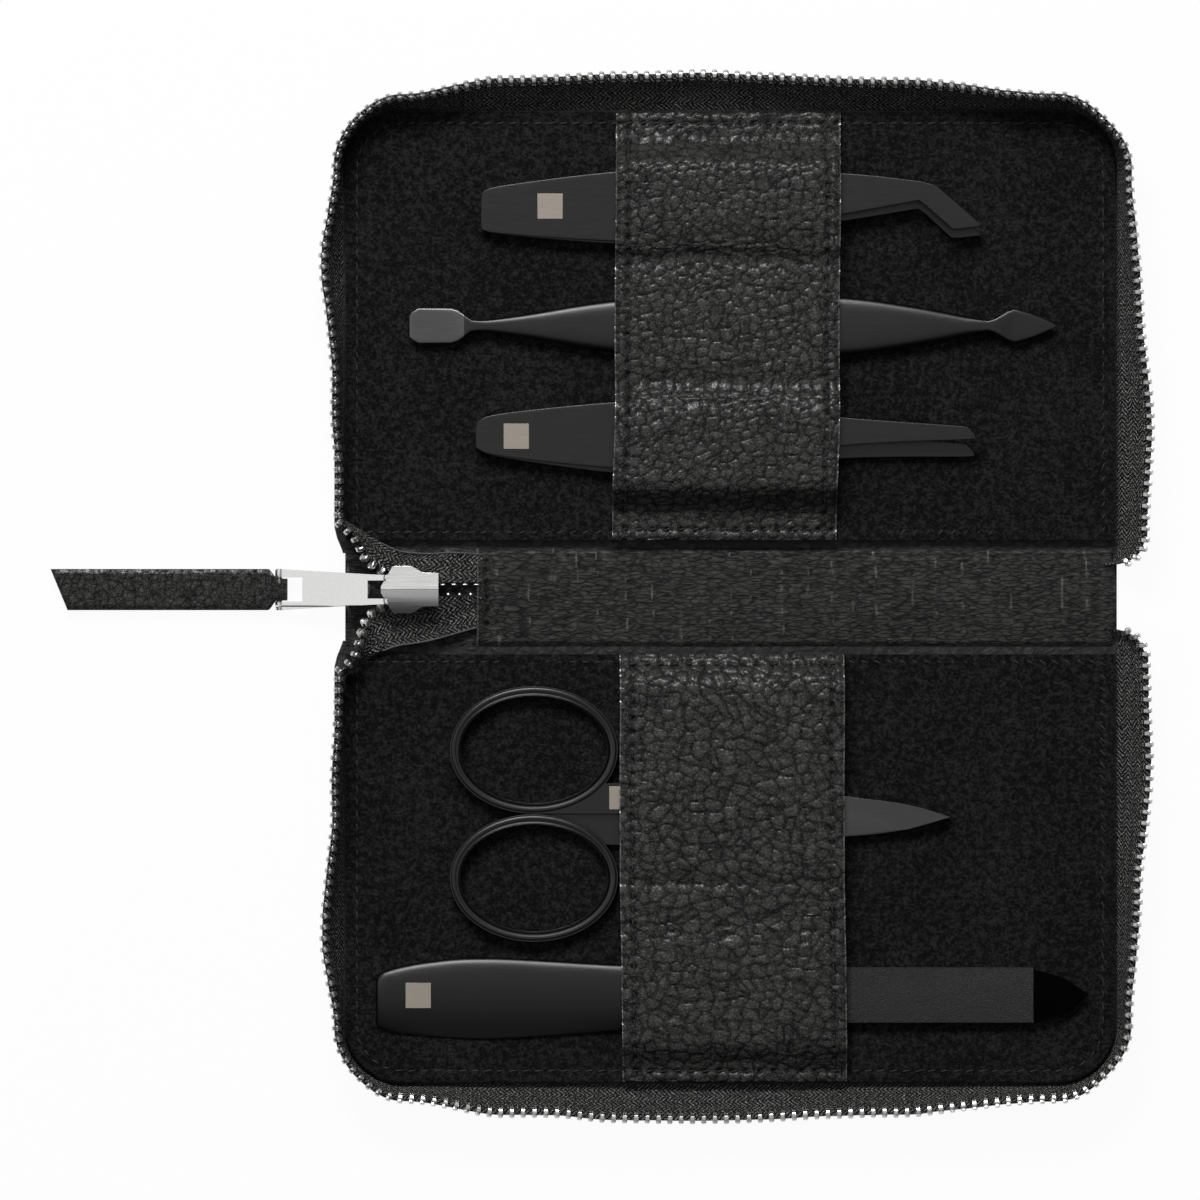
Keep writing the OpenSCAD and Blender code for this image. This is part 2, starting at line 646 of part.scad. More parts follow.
// the upper arm, opened about the weld at its butt
module open_arm() {
  translate([arm_hinge_x, 0, arm_t + weld_gap + arm_hinge_x * sin(spread)])
    rotate([0, -spread, 0]) translate([-arm_hinge_x, 0, 0]) children();
}

module upper_arm(outline) {
  color(black_steel) open_arm() linear_extrude(arm_t) polygon(outline);
}

module arm_badge(x, y) {
  color(pale_gold) open_arm() translate([x - badge_s / 2, y - badge_s / 2, arm_t])
    cube([badge_s, badge_s, badge_t]);
}

module bent_place() {
  translate([case_x0 + bent_x, fold_y + bent_y, tool_z]) children();
}

module slant_place() {
  translate([case_x0 + slant_x, fold_y + slant_y, tool_z]) children();
}

bent_turn = 1.0;
slant_turn = 2.0;
bent_badge_x = 12.6;
slant_badge_x = 7.4;
badge_y = 0.9;

module bent_tweezers_lower_arm() { bent_place() lower_arm(bent_outline, bent_turn); }
module bent_tweezers_upper_arm() { bent_place() upper_arm(bent_outline); }
module bent_tweezers_badge() { bent_place() arm_badge(bent_badge_x, badge_y); }
module slant_tweezers_lower_arm() { slant_place() lower_arm(slant_outline, slant_turn); }
module slant_tweezers_upper_arm() { slant_place() upper_arm(slant_outline); }
module slant_tweezers_badge() { slant_place() arm_badge(slant_badge_x, badge_y - 0.9); }

// ---------------------------------------------------------------- cuticle pusher

// half widths and half thicknesses along the pusher, from the paddle's end
pusher_neck = 1.0;
pusher_half = concat(
  [[0, 0.63 * paddle_w / 2], [1.2, paddle_w / 2], [8.4, paddle_w / 2]],
  smooth_line([[10.5, 1.75], [12.2, pusher_neck], [20.4, 2.0], [36.8, 0.41 * pusher_w],
    [56, pusher_w / 2], [77.9, 0.475 * pusher_w], [92.8, 0.3 * pusher_w],
    [pusher_len - 12.6, pusher_neck], [pusher_len - 11.4, pusher_neck + 0.3]], curve_n),
  smooth_line([[pusher_len - 8.1, spade_w / 2], [pusher_len - 4, 0.62 * spade_w / 2],
    [pusher_len, 0.15]], curve_n));
pusher_side = smooth_line([[0, 0.35], [8.4, 0.6], [12.2, 0.95], [30, 1.3], [56, pusher_t / 2],
  [85, 1.3], [pusher_len - 12, 0.9], [pusher_len - 8, 0.5], [pusher_len, 0.2]], 4);
function closed(p) = concat(p, [for (q = reverse(p)) [q[0], -q[1]]]);

module cuticle_pusher() {
  color(black_steel) translate([case_x0 + pusher_x, fold_y + pusher_y, tool_z + pusher_t / 2])
    intersection() {
      translate([0, 0, -pusher_t]) linear_extrude(2 * pusher_t) polygon(closed(pusher_half));
      translate([0, pusher_w, 0]) rotate([90, 0, 0]) linear_extrude(2 * pusher_w)
        polygon(closed(pusher_side));
    }
}

// ---------------------------------------------------------------- scissors

// drawn with the pivot at the origin, tip along +X; the upper half's ring is towards +Y
module ring(y) {
  difference() {
    polygon(ellipse(ring_x, y, ring_a, ring_b));
    polygon(ellipse(ring_x, y, ring_a - ring_wall, ring_b - ring_wall));
  }
}

// web that runs out of a ring's lower side into the shank, then the blade to its tip
web_end = ring_x + 0.62 * ring_a;
module shank_and_blade(side, part_y, edge) {
  difference() {
    polygon(concat(
      [[ring_x, part_y], [ring_x, part_y + side * ring_wall / 2], [web_end, part_y + side * 5.4]],
      smooth_line([[ring_x + ring_a, part_y + side * 5.6], [-14, side * 4.6],
        [-5, side * 0.58 * blade_w], [1, side * 0.56 * blade_w], [21.8, side * 0.47 * blade_w],
        [33, side * 0.3 * blade_w], [tip_x, 0]], 4),
      [[33, -side * 0.3 * blade_w], [21.8, -side * edge], [2, -side * edge],
        [-4, -side * 0.48 * blade_w], [-9, part_y]]));
    polygon(ellipse(ring_x, part_y + side * ring_b, ring_a - ring_wall, ring_b - ring_wall));
  }
}

module scissors_place() {
  translate([case_x0 + scissors_x + ring_end, -fold_y - scissors_y, tool_z]) children();
}

upper_part_y = upper_ring_y - ring_b;
lower_part_y = lower_ring_y + ring_b;
module scissors_upper_half() {
  color(black_steel) scissors_place() difference() {
    union() {
      translate([0, 0, touch]) linear_extrude(ring_h - touch) ring(upper_ring_y);
      translate([0, 0, blade_t + weld_gap]) linear_extrude(blade_t)
        shank_and_blade(1, upper_part_y, 0.45 * blade_w);
    }
    cylinder(h = 3 * ring_h, r = pivot_r + pivot_gap, center = true, $fn = 64);
  }
}

module scissors_lower_half() {
  color(black_steel) scissors_place() difference() {
    union() {
      linear_extrude(ring_h) ring(lower_ring_y);
      linear_extrude(blade_t) shank_and_blade(-1, lower_part_y, 0.5 * blade_w);
    }
    cylinder(h = 3 * ring_h, r = pivot_r, center = true, $fn = 64);
  }
}

module scissors_pivot() {
  head_r = 2.3;
  color(black_steel) scissors_place() {
    cylinder(h = ring_h + touch, r = pivot_r, $fn = 64);
    translate([0, 0, ring_h + touch]) cylinder(h = screw_h - touch, r = head_r, $fn = 64);
  }
}

module scissors_badge() {
  color(pale_gold) scissors_place() translate([-ring_end + 29, 1.4, ring_h + touch])
    cube([badge_s, badge_s - 0.4, badge_t]);
}

// ---------------------------------------------------------------- nail file

file_top = smooth_line([[0, 0.21 * file_handle_w], [1.6, 0.3 * file_handle_w],
  [9.2, 0.41 * file_handle_w],
  [20.8, 0.46 * file_handle_w], [44.7, 0.375 * file_handle_w],
  [file_handle_len, file_blade_w / 2 - 0.3]], curve_n);
file_bottom = smooth_line([[0, -0.39 * file_handle_w], [5.2, -0.48 * file_handle_w],
  [20.8, -0.54 * file_handle_w], [44.7, -0.44 * file_handle_w],
  [file_handle_len, -file_blade_w / 2 - 0.2]], curve_n);
tang_len = 12;
tang_w = 6;
blade_z = (file_handle_t - file_blade_t) / 2;

module file_place() {
  translate([case_x0 + file_x, -fold_y - file_y, tool_z]) children();
}

module file_handle() {
  color(black_steel) file_place() difference() {
    linear_extrude(file_handle_t) polygon(concat(file_top, reverse(file_bottom)));
    translate([file_handle_len - tang_len, -tang_w / 2, blade_z])
      cube([tang_len + 1, tang_w, file_blade_t]);
  }
}

module file_blade() {
  w = file_blade_w / 2;
  tang_x = file_handle_len - tang_len + touch;
  tang_half = tang_w / 2 - touch;
  root_x = file_handle_len + touch;
  tip_x0 = file_len - file_tip_len;
  shoulder_x = tip_x0 + 0.05 * file_tip_len;
  middle_x = tip_x0 + 0.55 * file_tip_len;
  top = concat([[tip_x0, w]],
    smooth_line([[shoulder_x, 0.9 * w], [middle_x, 0.6 * w], [file_len, 0.05]], 4));
  bottom = [[middle_x, -0.65 * w], [shoulder_x, -0.95 * w], [tip_x0, -w]];
  color(black_steel) file_place() translate([0, 0, blade_z]) linear_extrude(file_blade_t)
    polygon(concat([[tang_x, -tang_half], [tang_x, tang_half], [root_x, tang_half], [root_x, w]],
      top, bottom, [[root_x, -w], [root_x, -tang_half]]));
}

file_badge_x = 7.7;
module file_badge() {
  color(pale_gold) file_place() translate([file_badge_x - badge_s / 2, -badge_s / 2, file_handle_t])
    cube([badge_s, badge_s, badge_t]);
}

// ---------------------------------------------------------------- the pieces

module lower() { mirror([0, 1, 0]) children(); }
spine_leather();
spine_lining();
cover_leather();  // upper_leather
cover_board();  // upper_board
cover_lining();  // upper_lining
strap(upper_strap_x, upper_channels);  // upper_strap
cover_tape();  // upper_zip_tape
cover_teeth();  // upper_zip_teeth
lower() cover_leather();  // lower_leather
lower() cover_board();  // lower_board
lower() cover_lining();  // lower_lining
lower() strap(lower_strap_x, lower_channels);  // lower_strap
lower() cover_tape();  // lower_zip_tape
lower() cover_teeth();  // lower_zip_teeth
tape_bridge(1);  // upper_tape_bridge
tape_bridge(-1);  // lower_tape_bridge
bridge_teeth();
zip_start_teeth();
slider_body();
slider_bridge();
metal_pull();
leather_pull();
bent_tweezers_lower_arm();
bent_tweezers_upper_arm();
bent_tweezers_badge();
slant_tweezers_lower_arm();
slant_tweezers_upper_arm();
slant_tweezers_badge();
cuticle_pusher();
scissors_lower_half();
scissors_upper_half();
scissors_pivot();
scissors_badge();
file_handle();
file_blade();
file_badge();
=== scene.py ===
# %% [markdown]
# # A zip-round manicure case, lying open
# The case is two stiffened leather covers on a leather spine. A zip runs round three edges
# of both covers, and five black steel tools lie under two leather straps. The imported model
# gives every piece its real size and place, so this lesson only dresses it: each soft piece
# is rebuilt with its grain, folds and stitches, and each hard one gets its true sections.

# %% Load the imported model
import math
from contextlib import contextmanager

import bmesh
import bpy
import numpy as np
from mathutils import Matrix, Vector


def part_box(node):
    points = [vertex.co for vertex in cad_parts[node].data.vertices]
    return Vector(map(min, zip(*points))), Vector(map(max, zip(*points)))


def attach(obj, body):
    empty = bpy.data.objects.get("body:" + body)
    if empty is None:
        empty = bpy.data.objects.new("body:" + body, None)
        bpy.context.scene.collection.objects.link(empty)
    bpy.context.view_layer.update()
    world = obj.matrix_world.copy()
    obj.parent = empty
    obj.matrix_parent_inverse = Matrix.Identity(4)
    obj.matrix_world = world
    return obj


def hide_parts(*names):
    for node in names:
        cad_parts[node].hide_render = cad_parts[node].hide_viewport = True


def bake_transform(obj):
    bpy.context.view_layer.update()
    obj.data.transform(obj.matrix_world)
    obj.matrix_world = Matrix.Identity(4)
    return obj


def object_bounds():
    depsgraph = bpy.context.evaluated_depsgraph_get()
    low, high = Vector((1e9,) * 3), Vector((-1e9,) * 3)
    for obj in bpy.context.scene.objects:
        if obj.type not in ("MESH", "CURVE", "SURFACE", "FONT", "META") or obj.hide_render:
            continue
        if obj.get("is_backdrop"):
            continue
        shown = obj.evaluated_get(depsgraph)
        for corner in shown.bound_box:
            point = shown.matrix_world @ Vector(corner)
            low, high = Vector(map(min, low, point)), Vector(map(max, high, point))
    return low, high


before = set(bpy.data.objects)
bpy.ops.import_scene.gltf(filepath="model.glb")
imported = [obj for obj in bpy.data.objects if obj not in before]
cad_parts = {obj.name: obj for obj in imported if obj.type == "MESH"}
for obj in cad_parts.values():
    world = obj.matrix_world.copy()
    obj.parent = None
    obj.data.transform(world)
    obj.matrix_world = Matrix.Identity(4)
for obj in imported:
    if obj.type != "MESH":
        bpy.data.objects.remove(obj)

cad_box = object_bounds()
MM = 0.001


def new_object(name, data):
    made = bpy.data.objects.new(name, data)
    bpy.context.scene.collection.objects.link(made)
    return made


# %% [markdown]
# ## Camera
# The photograph looks straight down from far away, so nothing in it converges. An
# orthographic camera could do that, but a very long lens keeps a trace of depth and is what
# a product photographer would use. Its height and focal length together set the width seen.

# %% Set up the camera
PHOTO_WIDTH = 218.4 * MM
PHOTO_CENTRE = Vector((-0.43, -0.55, 3.0)) * MM
CAMERA_HEIGHT = 1.6
SENSOR = 36.0


def make_camera():
    data = bpy.data.cameras.new("camera")
    data.sensor_width = SENSOR
    data.lens = SENSOR * CAMERA_HEIGHT / PHOTO_WIDTH
    data.clip_start, data.clip_end = 0.1, 20.0
    camera = new_object("camera", data)
    camera.location = PHOTO_CENTRE + Vector((0, 0, CAMERA_HEIGHT))
    bpy.context.scene.camera = camera
    print("lens", round(data.lens, 1), "mm at", CAMERA_HEIGHT, "m")


make_camera()
bpy.context.scene.view_settings.view_transform = "Standard"

# %% [markdown]
# ## Formulas for materials
# A procedural finish is a formula over the surface. Blender writes a formula as Math nodes,
# which is slow to read, so one small class wraps a socket and lets + - * / build those nodes.
# A second class adds any other node from its type, settings and sockets, and a third, built
# on it, holds a material. The same two write the sky and the tree that copies teeth.

# %% Wrap sockets and materials
def maths(operation, swap=False):
    """An operator that stands for a Math node."""
    def build(self, other):
        pair = {0: other, 1: self} if swap else {0: self, 1: other}
        return self.owner.node("Math", {"operation": operation}, pair)
    return build


class Field:
    """A socket that can stand in a sum, so that a pattern reads like a formula."""

    def __init__(self, owner, socket):
        self.owner, self.socket = owner, socket

    def other(self, name):
        """Another output of the same node."""
        return Field(self.owner, self.socket.node.outputs[name])

    __add__, __radd__ = maths("ADD"), maths("ADD", swap=True)
    __rsub__ = maths("SUBTRACT", swap=True)
    __mul__, __truediv__, __pow__ = maths("MULTIPLY"), maths("DIVIDE"), maths("POWER")


class Nodes:
    """A node tree; a node is made from its type, its settings and what its sockets get."""

    def __init__(self, tree):
        self.tree = tree

    def node(self, kind, settings=None, sockets=None, out=0):
        made = self.tree.nodes.new(kind if "Node" in kind else "ShaderNode" + kind)
        for key, value in (settings or {}).items():
            setattr(made, key, value)
        self.wire(made, sockets or {})
        return Field(self, made.outputs[out]) if made.outputs else made

    def wire(self, made, sockets):
        for key, value in sockets.items():
            if isinstance(value, Field):
                self.tree.links.new(value.socket, made.inputs[key])
            else:
                made.inputs[key].default_value = value


class Finish(Nodes):
    """A material round one Principled shader."""

    def __init__(self, name, roughness, metallic=0.0, specular=0.5):
        self.material = bpy.data.materials.new(name)
        self.material.use_nodes = True
        super().__init__(self.material.node_tree)
        self.shader = self.tree.nodes["Principled BSDF"]
        self.wire(self.shader, {"Metallic": metallic, "Roughness": roughness,
                                "Specular IOR Level": specular})

    def place(self, stretch=(1, 1, 1)):
        """The point on the piece, in metres, after a stretch."""
        point = self.node("TexCoord", out="Object")
        return self.node("Mapping", {}, {"Vector": point, "Scale": stretch})

    def cloth(self):
        """The piece's own two-way measure, in metres, kept in its UV map."""
        return self.node("UVMap", {"uv_map": "cloth"})

    def noise(self, point, size, detail=2.0, warp=0.0):
        sockets = {"Vector": point, "Scale": 1 / size, "Detail": detail, "Distortion": warp}
        return self.node("TexNoise", {}, sockets)

    def cells(self, point, size, feature="F1"):
        sockets = {"Vector": point, "Scale": 1 / size}
        return self.node("TexVoronoi", {"feature": feature}, sockets)

    def swirled(self, point, size, depth):
        """The point pushed about by a slow noise, so that a cell pattern loses its straight edges."""
        push = self.node("TexNoise", {}, {"Vector": point, "Scale": 1 / size}, out="Color")
        push = self.node("VectorMath", {"operation": "SCALE"}, {0: push, "Scale": depth})
        return self.node("VectorMath", {"operation": "ADD"}, {0: point, 1: push})

    def drawn(self, name):
        """A number that the mesh carries at each point."""
        return self.node("Attribute", {"attribute_name": name}, out="Fac")

    def between(self, value, low, high, first=0.0, last=1.0):
        """Value eased from one number to another while it runs from low to high."""
        sockets = {"Value": value, "From Min": low, "From Max": high, "To Min": first, "To Max": last}
        return self.node("MapRange", {"interpolation_type": "SMOOTHSTEP"}, sockets)

    def mix(self, share, first, last):
        sockets = {0: share, 6: first, 7: last}
        return self.node("Mix", {"data_type": "RGBA"}, sockets, out=2)

    def feed(self, **values):
        self.wire(self.shader, {key.replace("_", " "): value for key, value in values.items()})

    def dress(self, colour, roughness, height, depth, strength=1.0):
        """Feeds the shader and stands the pattern up as a bump."""
        sockets = {"Height": height, "Distance": depth, "Strength": strength}
        self.feed(Base_Color=colour, Roughness=roughness, Normal=self.node("Bump", {}, sockets))
        return self.material


def grey(level, warm=0.0):
    """A near-neutral colour, level being how much light it gives back."""
    return (level * (1 + warm), level, level * (1 - warm), 1)


# %% [markdown]
# ## Floor and light
# The ground of the photograph is pure white. A brighter lamp would wash out the black
# leather, so the floor turns to plain white only for what the camera sees, directly or in a
# mirror, and keeps a share of its lit self, which holds the shadow. Black things show little
# but what they mirror: a bright ceiling over dark walls makes flat places pale and slopes
# dark, a lamp past the far side lights the slopes that face it, and one more lights the pull.

# %% Build floor, sky and lamps
FLOOR_SIZE = 12.0
FLOOR_DROP = -0.05 * MM
FLOOR_WHITE = 0.95
KEY_POWER = 13.0
PULL_POWER = 1.0
WALLS, CEILING = 0.05, 0.62
WALLS_TOP, CEILING_EDGE = 0.74, 0.98


def seen_by_camera(finish):
    """1 where the camera, or a mirror or glass that it looks through, sees the surface."""
    direct = finish.node("LightPath", out="Is Camera Ray")
    total = direct + direct.other("Is Glossy Ray") + direct.other("Is Transmission Ray")
    return finish.node("Clamp", {}, {"Value": total})


def make_floor():
    finish = Finish("floor_paper", 0.9)
    finish.feed(Base_Color=grey(0.86))
    glow = finish.node("Emission", {}, {"Color": grey(1.0), "Strength": 1.0})
    share = seen_by_camera(finish) * FLOOR_WHITE
    lit = Field(finish, finish.shader.outputs[0])
    both = finish.node("MixShader", {}, {0: share, 1: lit, 2: glow})
    finish.wire(finish.tree.nodes["Material Output"], {"Surface": both})
    mesh = bpy.data.meshes.new("floor")
    corners = [(-1, -1), (1, -1), (1, 1), (-1, 1)]
    half = FLOOR_SIZE / 2
    mesh.from_pydata([(x * half, y * half, FLOOR_DROP) for x, y in corners], [], [(0, 1, 2, 3)])
    mesh.materials.append(finish.material)
    new_object("floor", mesh)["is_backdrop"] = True


def make_lamp(name, place, size, power):
    data = bpy.data.lights.new(name, "AREA")
    data.shape = "RECTANGLE"
    data.size, data.size_y = size
    data.energy = power
    lamp = new_object(name, data)
    lamp.location = place
    lamp.rotation_euler = (-Vector(place)).to_track_quat("-Z", "Y").to_euler()


def make_sky():
    """A room with a bright ceiling and dark walls, which the camera itself sees as white."""
    world = bpy.data.worlds.new("room")
    bpy.context.scene.world = world
    world.use_nodes = True
    sky = Nodes(world.node_tree)
    up = sky.node("SeparateXYZ", {}, {0: sky.node("TexCoord", out="Generated")}, out="Z")
    steps = {"Value": up, "From Min": WALLS_TOP, "From Max": CEILING_EDGE,
             "To Min": WALLS, "To Max": CEILING}
    level = sky.node("MapRange", {"interpolation_type": "SMOOTHSTEP"}, steps)
    seen = sky.node("LightPath", out="Is Camera Ray")
    either = sky.node("Math", {"operation": "MAXIMUM"}, {0: level, 1: seen})
    sky.wire(sky.tree.nodes["Background"], {"Strength": either, "Color": grey(1.0)})


make_floor()
make_sky()
make_lamp("far_softbox", (-0.15, 0.80, 0.85), (0.6, 0.4), KEY_POWER)
make_lamp("pull_softbox", (-0.75, 0.05, 0.85), (0.5, 0.9), PULL_POWER)
print("lamps:", len(bpy.data.lights), "over a floor of", FLOOR_SIZE, "m")

# %% [markdown]
# ## Making meshes
# Nearly every piece here is long and has a section that changes slowly: a strap, a tape, a
# tweezer arm, a leather strip. Boxes with bevels would look cut out. Lofting a closed ring of
# points through many stations gives each its real section, so one loft makes most pieces.

# %% Loft rings and finish pieces
def add_mesh(name, points, faces):
    mesh = bpy.data.meshes.new(name)
    mesh.from_pydata(points, [], faces)
    return new_object(name, mesh)


@contextmanager
def editing(made):
    """Opens a mesh for changes and writes them back."""
    work = bmesh.new()
    work.from_mesh(made.data)
    yield work
    work.to_mesh(made.data)
    work.free()


def outward(made, merge=0.002 * MM):
    """Merges doubles and turns every face of a closed piece outwards."""
    with editing(made) as work:
        bmesh.ops.remove_doubles(work, verts=work.verts, dist=merge)
        bmesh.ops.recalc_face_normals(work, faces=work.faces)
    return made


def cut(work, place, across):
    """Cuts every face along a plane, so that both sides can differ."""
    whole = work.verts[:] + work.edges[:] + work.faces[:]
    bmesh.ops.bisect_plane(work, geom=whole, plane_co=place, plane_no=across)


def spots(*parts):
    """Coordinates, or other measures, side by side for every point."""
    return np.stack(np.broadcast_arrays(*parts), axis=-1)


def beside(*parts):
    """Joins the second way of a grid, such as the top and the underside of a section."""
    return np.concatenate(parts, axis=1)


def circle(count):
    return np.linspace(0, 2 * math.pi, count, endpoint=False)


def way_along(points):
    """Distance from the first point of a line to each of its points."""
    return np.concatenate([[0], np.cumsum(np.linalg.norm(np.diff(points, axis=0), axis=1))])


def loft(name, rings, cloth=None, grain_height=None, endless=False):
    """A closed solid through rings of points: an array of stations, ring points and XYZ."""
    rings = np.asarray(rings, float)
    rows, count = rings.shape[:2]
    index = np.arange(rows * count).reshape(rows, count)
    after = np.roll(index, -1, axis=0)
    sides = np.stack([index, np.roll(index, -1, axis=1), np.roll(after, -1, axis=1), after], axis=-1)
    ends = [] if endless else [index[0][::-1].tolist(), index[-1].tolist()]
    faces = sides[:rows if endless else rows - 1].reshape(-1, 4).tolist() + ends
    made = add_mesh(name, rings.reshape(-1, 3).tolist(), faces)
    if cloth is not None:
        lay_cloth(made, np.asarray(cloth).reshape(-1, 2))
    if grain_height is not None:
        kept = made.data.attributes.new("grain", "FLOAT", "POINT")
        kept.data.foreach_set("value", np.asarray(grain_height, np.float32).ravel())
    return made


def lay_cloth(made, measure):
    """Keeps a two-way measure of the surface as the UV map that woven finishes read."""
    layer = made.data.uv_layers.new(name="cloth")
    corner = np.zeros(len(made.data.loops), np.int64)
    made.data.loops.foreach_get("vertex_index", corner)
    layer.data.foreach_set("uv", measure[corner].astype(np.float32).ravel())


def smooth(made, angle=40):
    made.data.shade_smooth()
    with editing(made) as work:
        for edge in work.edges:
            bends = len(edge.link_faces) == 2 and edge.calc_face_angle(0) > math.radians(angle)
            edge.smooth = not bends
    return made


def apply_modifiers(made):
    """Turns the evaluated piece into a plain mesh and takes its modifiers off."""
    bpy.context.view_layer.update()
    seen = made.evaluated_get(bpy.context.evaluated_depsgraph_get())
    mesh = bpy.data.meshes.new_from_object(seen)
    made.modifiers.clear()
    made.data = mesh
    return made


SHALLOW, STEEP = math.radians(16), math.radians(38)


def softened(node, name, width, segments=2, shape=None):
    """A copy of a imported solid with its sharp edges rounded, after shape has reworked it."""
    made = new_object(name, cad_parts[node].data.copy())
    with editing(made) as work:
        bmesh.ops.remove_doubles(work, verts=work.verts, dist=0.005 * MM)
        bmesh.ops.dissolve_limit(work, angle_limit=math.radians(1), verts=work.verts,
                                 edges=work.edges)
        if shape:
            shape(work)
        for face in work.faces:
            face.smooth = True
        for crease in work.edges:
            bend = crease.calc_face_angle(0) if len(crease.link_faces) == 2 else 0
            crease.smooth = not SHALLOW < bend < STEEP
    edge = made.modifiers.new("edge", "BEVEL")
    edge.width = width
    edge.segments = segments
    edge.limit_method = "ANGLE"
    edge.angle_limit = STEEP
    flat = made.modifiers.new("flat faces", "WEIGHTED_NORMAL")
    flat.keep_sharp = True
    return apply_modifiers(made)


def put(made, body, slot, material, *nodes):
    """Gives a finished piece its finish, its body when that is a name, or else fixes it in place, and
    hides the solids that it stands for.
    """
    made.data.materials.clear()
    made.data.materials.append(material)
    if isinstance(body, str):
        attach(made, body)
    else:
        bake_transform(made)
    if nodes:
        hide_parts(*nodes)
    return made


def from_here(made, x, second):
    """Gives a tool a second finish past one place along it."""
    with editing(made) as work:
        cut(work, (x, 0, 0), (1, 0, 0))
    made.data.materials.append(second)
    for face in made.data.polygons:
        face.material_index = int(face.center.x > x)


def across_fold(cover, side, start, end):
    """The spine, a cover and two places across the fold, for a piece that crosses it."""
    return "spine", cover + "_cover", (0, side * start, 0), (0, side * end, 0)


# %% [markdown]
# ## Grain and unevenness
# Leather grain is a field of small soft cells parted by creases, never a regular pattern. A
# grid whose points are each pushed off their place, with every spot measured to its two
# nearest points, gives just that. It is worked out here for real points of the mesh, so the
# grain stands up in the light and at the edges, and not only in the shading.

# %% Work out cells and waves
TABLE = 64


def jitter(seed):
    """A table of random pairs, which repeats every TABLE cells."""
    return np.random.default_rng(seed).random((TABLE, TABLE, 2))


def grain(u, v, size, seed=1):
    """How far each place is from a crease of the grain, from 0 to 1."""
    table = jitter(seed)
    a, b = u / size, v / size
    first = np.full(a.shape, 9.0)
    second = np.full(a.shape, 9.0)
    for i in (-1, 0, 1):
        for k in (-1, 0, 1):
            col = np.floor(a).astype(int) + i
            row = np.floor(b).astype(int) + k
            shift = table[col % TABLE, row % TABLE]
            far = np.hypot(a - col - shift[..., 0], b - row - shift[..., 1])
            second = np.minimum(second, np.maximum(first, far))
            first = np.minimum(first, far)
    return np.clip((second - first) * 1.3, 0, 1)


def waves(u, v, size, seed=1):
    """Smooth random unevenness from -1 to 1."""
    table = jitter(seed)[..., 0] * 2 - 1
    a, b = u / size, v / size
    col, row = np.floor(a).astype(int), np.floor(b).astype(int)
    s, t = ease(a - col), ease(b - row)
    low, high = (table[col % TABLE, k % TABLE] * (1 - s) + table[(col + 1) % TABLE, k % TABLE] * s
                 for k in (row, row + 1))
    return low * (1 - t) + high * t


def ease(t):
    t = np.clip(t, 0, 1)
    return t * t * (3 - 2 * t)


def ridge(off, width):
    """1 on a line, falling smoothly to 0 on both sides of it."""
    return np.exp(-(off / width) ** 2)


def leather_height(u, v, size, seed):
    """Height of the grain from 0 to 1: soft crowns, creases between them, wrinkles over both."""
    def push(k):
        slow, quick = waves(u, v, 1.7 * size, seed + k), waves(u, v, 0.6 * size, seed + k + 3)
        return size * (0.32 * slow + 0.08 * quick)

    warp_u, warp_v = u + push(1), v + push(2)
    cell = grain(warp_u, warp_v, size, seed)
    crown = 0.75 * (1 - np.clip(1 - 3 * cell, 0, 1) ** 2) + 0.25 * cell
    small = 1 - np.clip(1 - 2.2 * grain(warp_u, warp_v, 0.4 * size, seed + 3), 0, 1) ** 2
    wrinkle = 1 - abs(waves(warp_u / 2.5, warp_v, 0.5 * size, seed + 6)) * 1.6
    return 0.6 * crown + 0.2 * small + 0.2 * np.clip(wrinkle, 0, 1)


# %% [markdown]
# ## Finishes
# Everything here is black or silver, so the finishes differ in how they give light back and
# not in colour, but for painted shade and sheen. Leather is satin on its crowns and dull in its
# creases, where its colour holds painted shade; suede is matt and blotched where it was brushed,
# the tape shows its twill with painted sheen on its threads, and the steel has fine lines along
# the way it was ground. Each finish is a function, so that pieces can share it or vary it.

# %% Leather, suede and cloth
# colour of cut leather edges, painted lighter than the crowns so that it also stands for the thin
# painted highlight along them
CUT_EDGE_AND_HIGHLIGHT = 0.075
# a mesh writes CUT_MARK in place of the grain's height, 0 to 1, where the leather is cut
CUT_MARK = 1.6


def make_leather(name, crown, crease, gloss=0.4, stretch=1.0):
    """Leather whose grain the mesh carries: glossy on its crowns, with painted shade darkening its
    creases.
    """
    finish = Finish(name, gloss, specular=0.1)
    finish.feed(Coat_Roughness=gloss)
    point = finish.place()
    height = finish.drawn("grain")
    blotch = finish.noise(point, 11 * MM, 3.0)
    pores = finish.noise(point, 0.35 * MM, 5.0, 0.6)
    fine = finish.swirled(finish.place((stretch, 1, 1)), 1.2 * MM, 0.9 * MM)
    creases = finish.between(finish.cells(fine, 0.7 * MM, "DISTANCE_TO_EDGE"), 0.0, 0.2)
    # painted shade: by the grain's height, the colour runs from crease, nearly black, in the creases
    # and fine crease lines to crown on the tops
    level = (height ** 2.6) * 0.75 + creases * pores * 0.5 + blotch * 0.15
    crease_shaded_grain = finish.mix(level, grey(crease), grey(crown, 0.03))
    # cut edges take the lighter edge colour: the cut itself and a painted highlight along it
    colour = finish.mix(finish.between(height, 1.1, CUT_MARK), crease_shaded_grain, grey(CUT_EDGE_AND_HIGHLIGHT))
    finish.feed(Coat_Weight=(height ** 3.0) * finish.between(creases * pores, 0.1, 0.5, 0.35, 1.0))
    roughness = (gloss + 0.3) - height * 0.2 + pores * 0.12
    return finish.dress(colour, roughness, creases * 0.5 + pores * 0.9, 0.22 * MM)


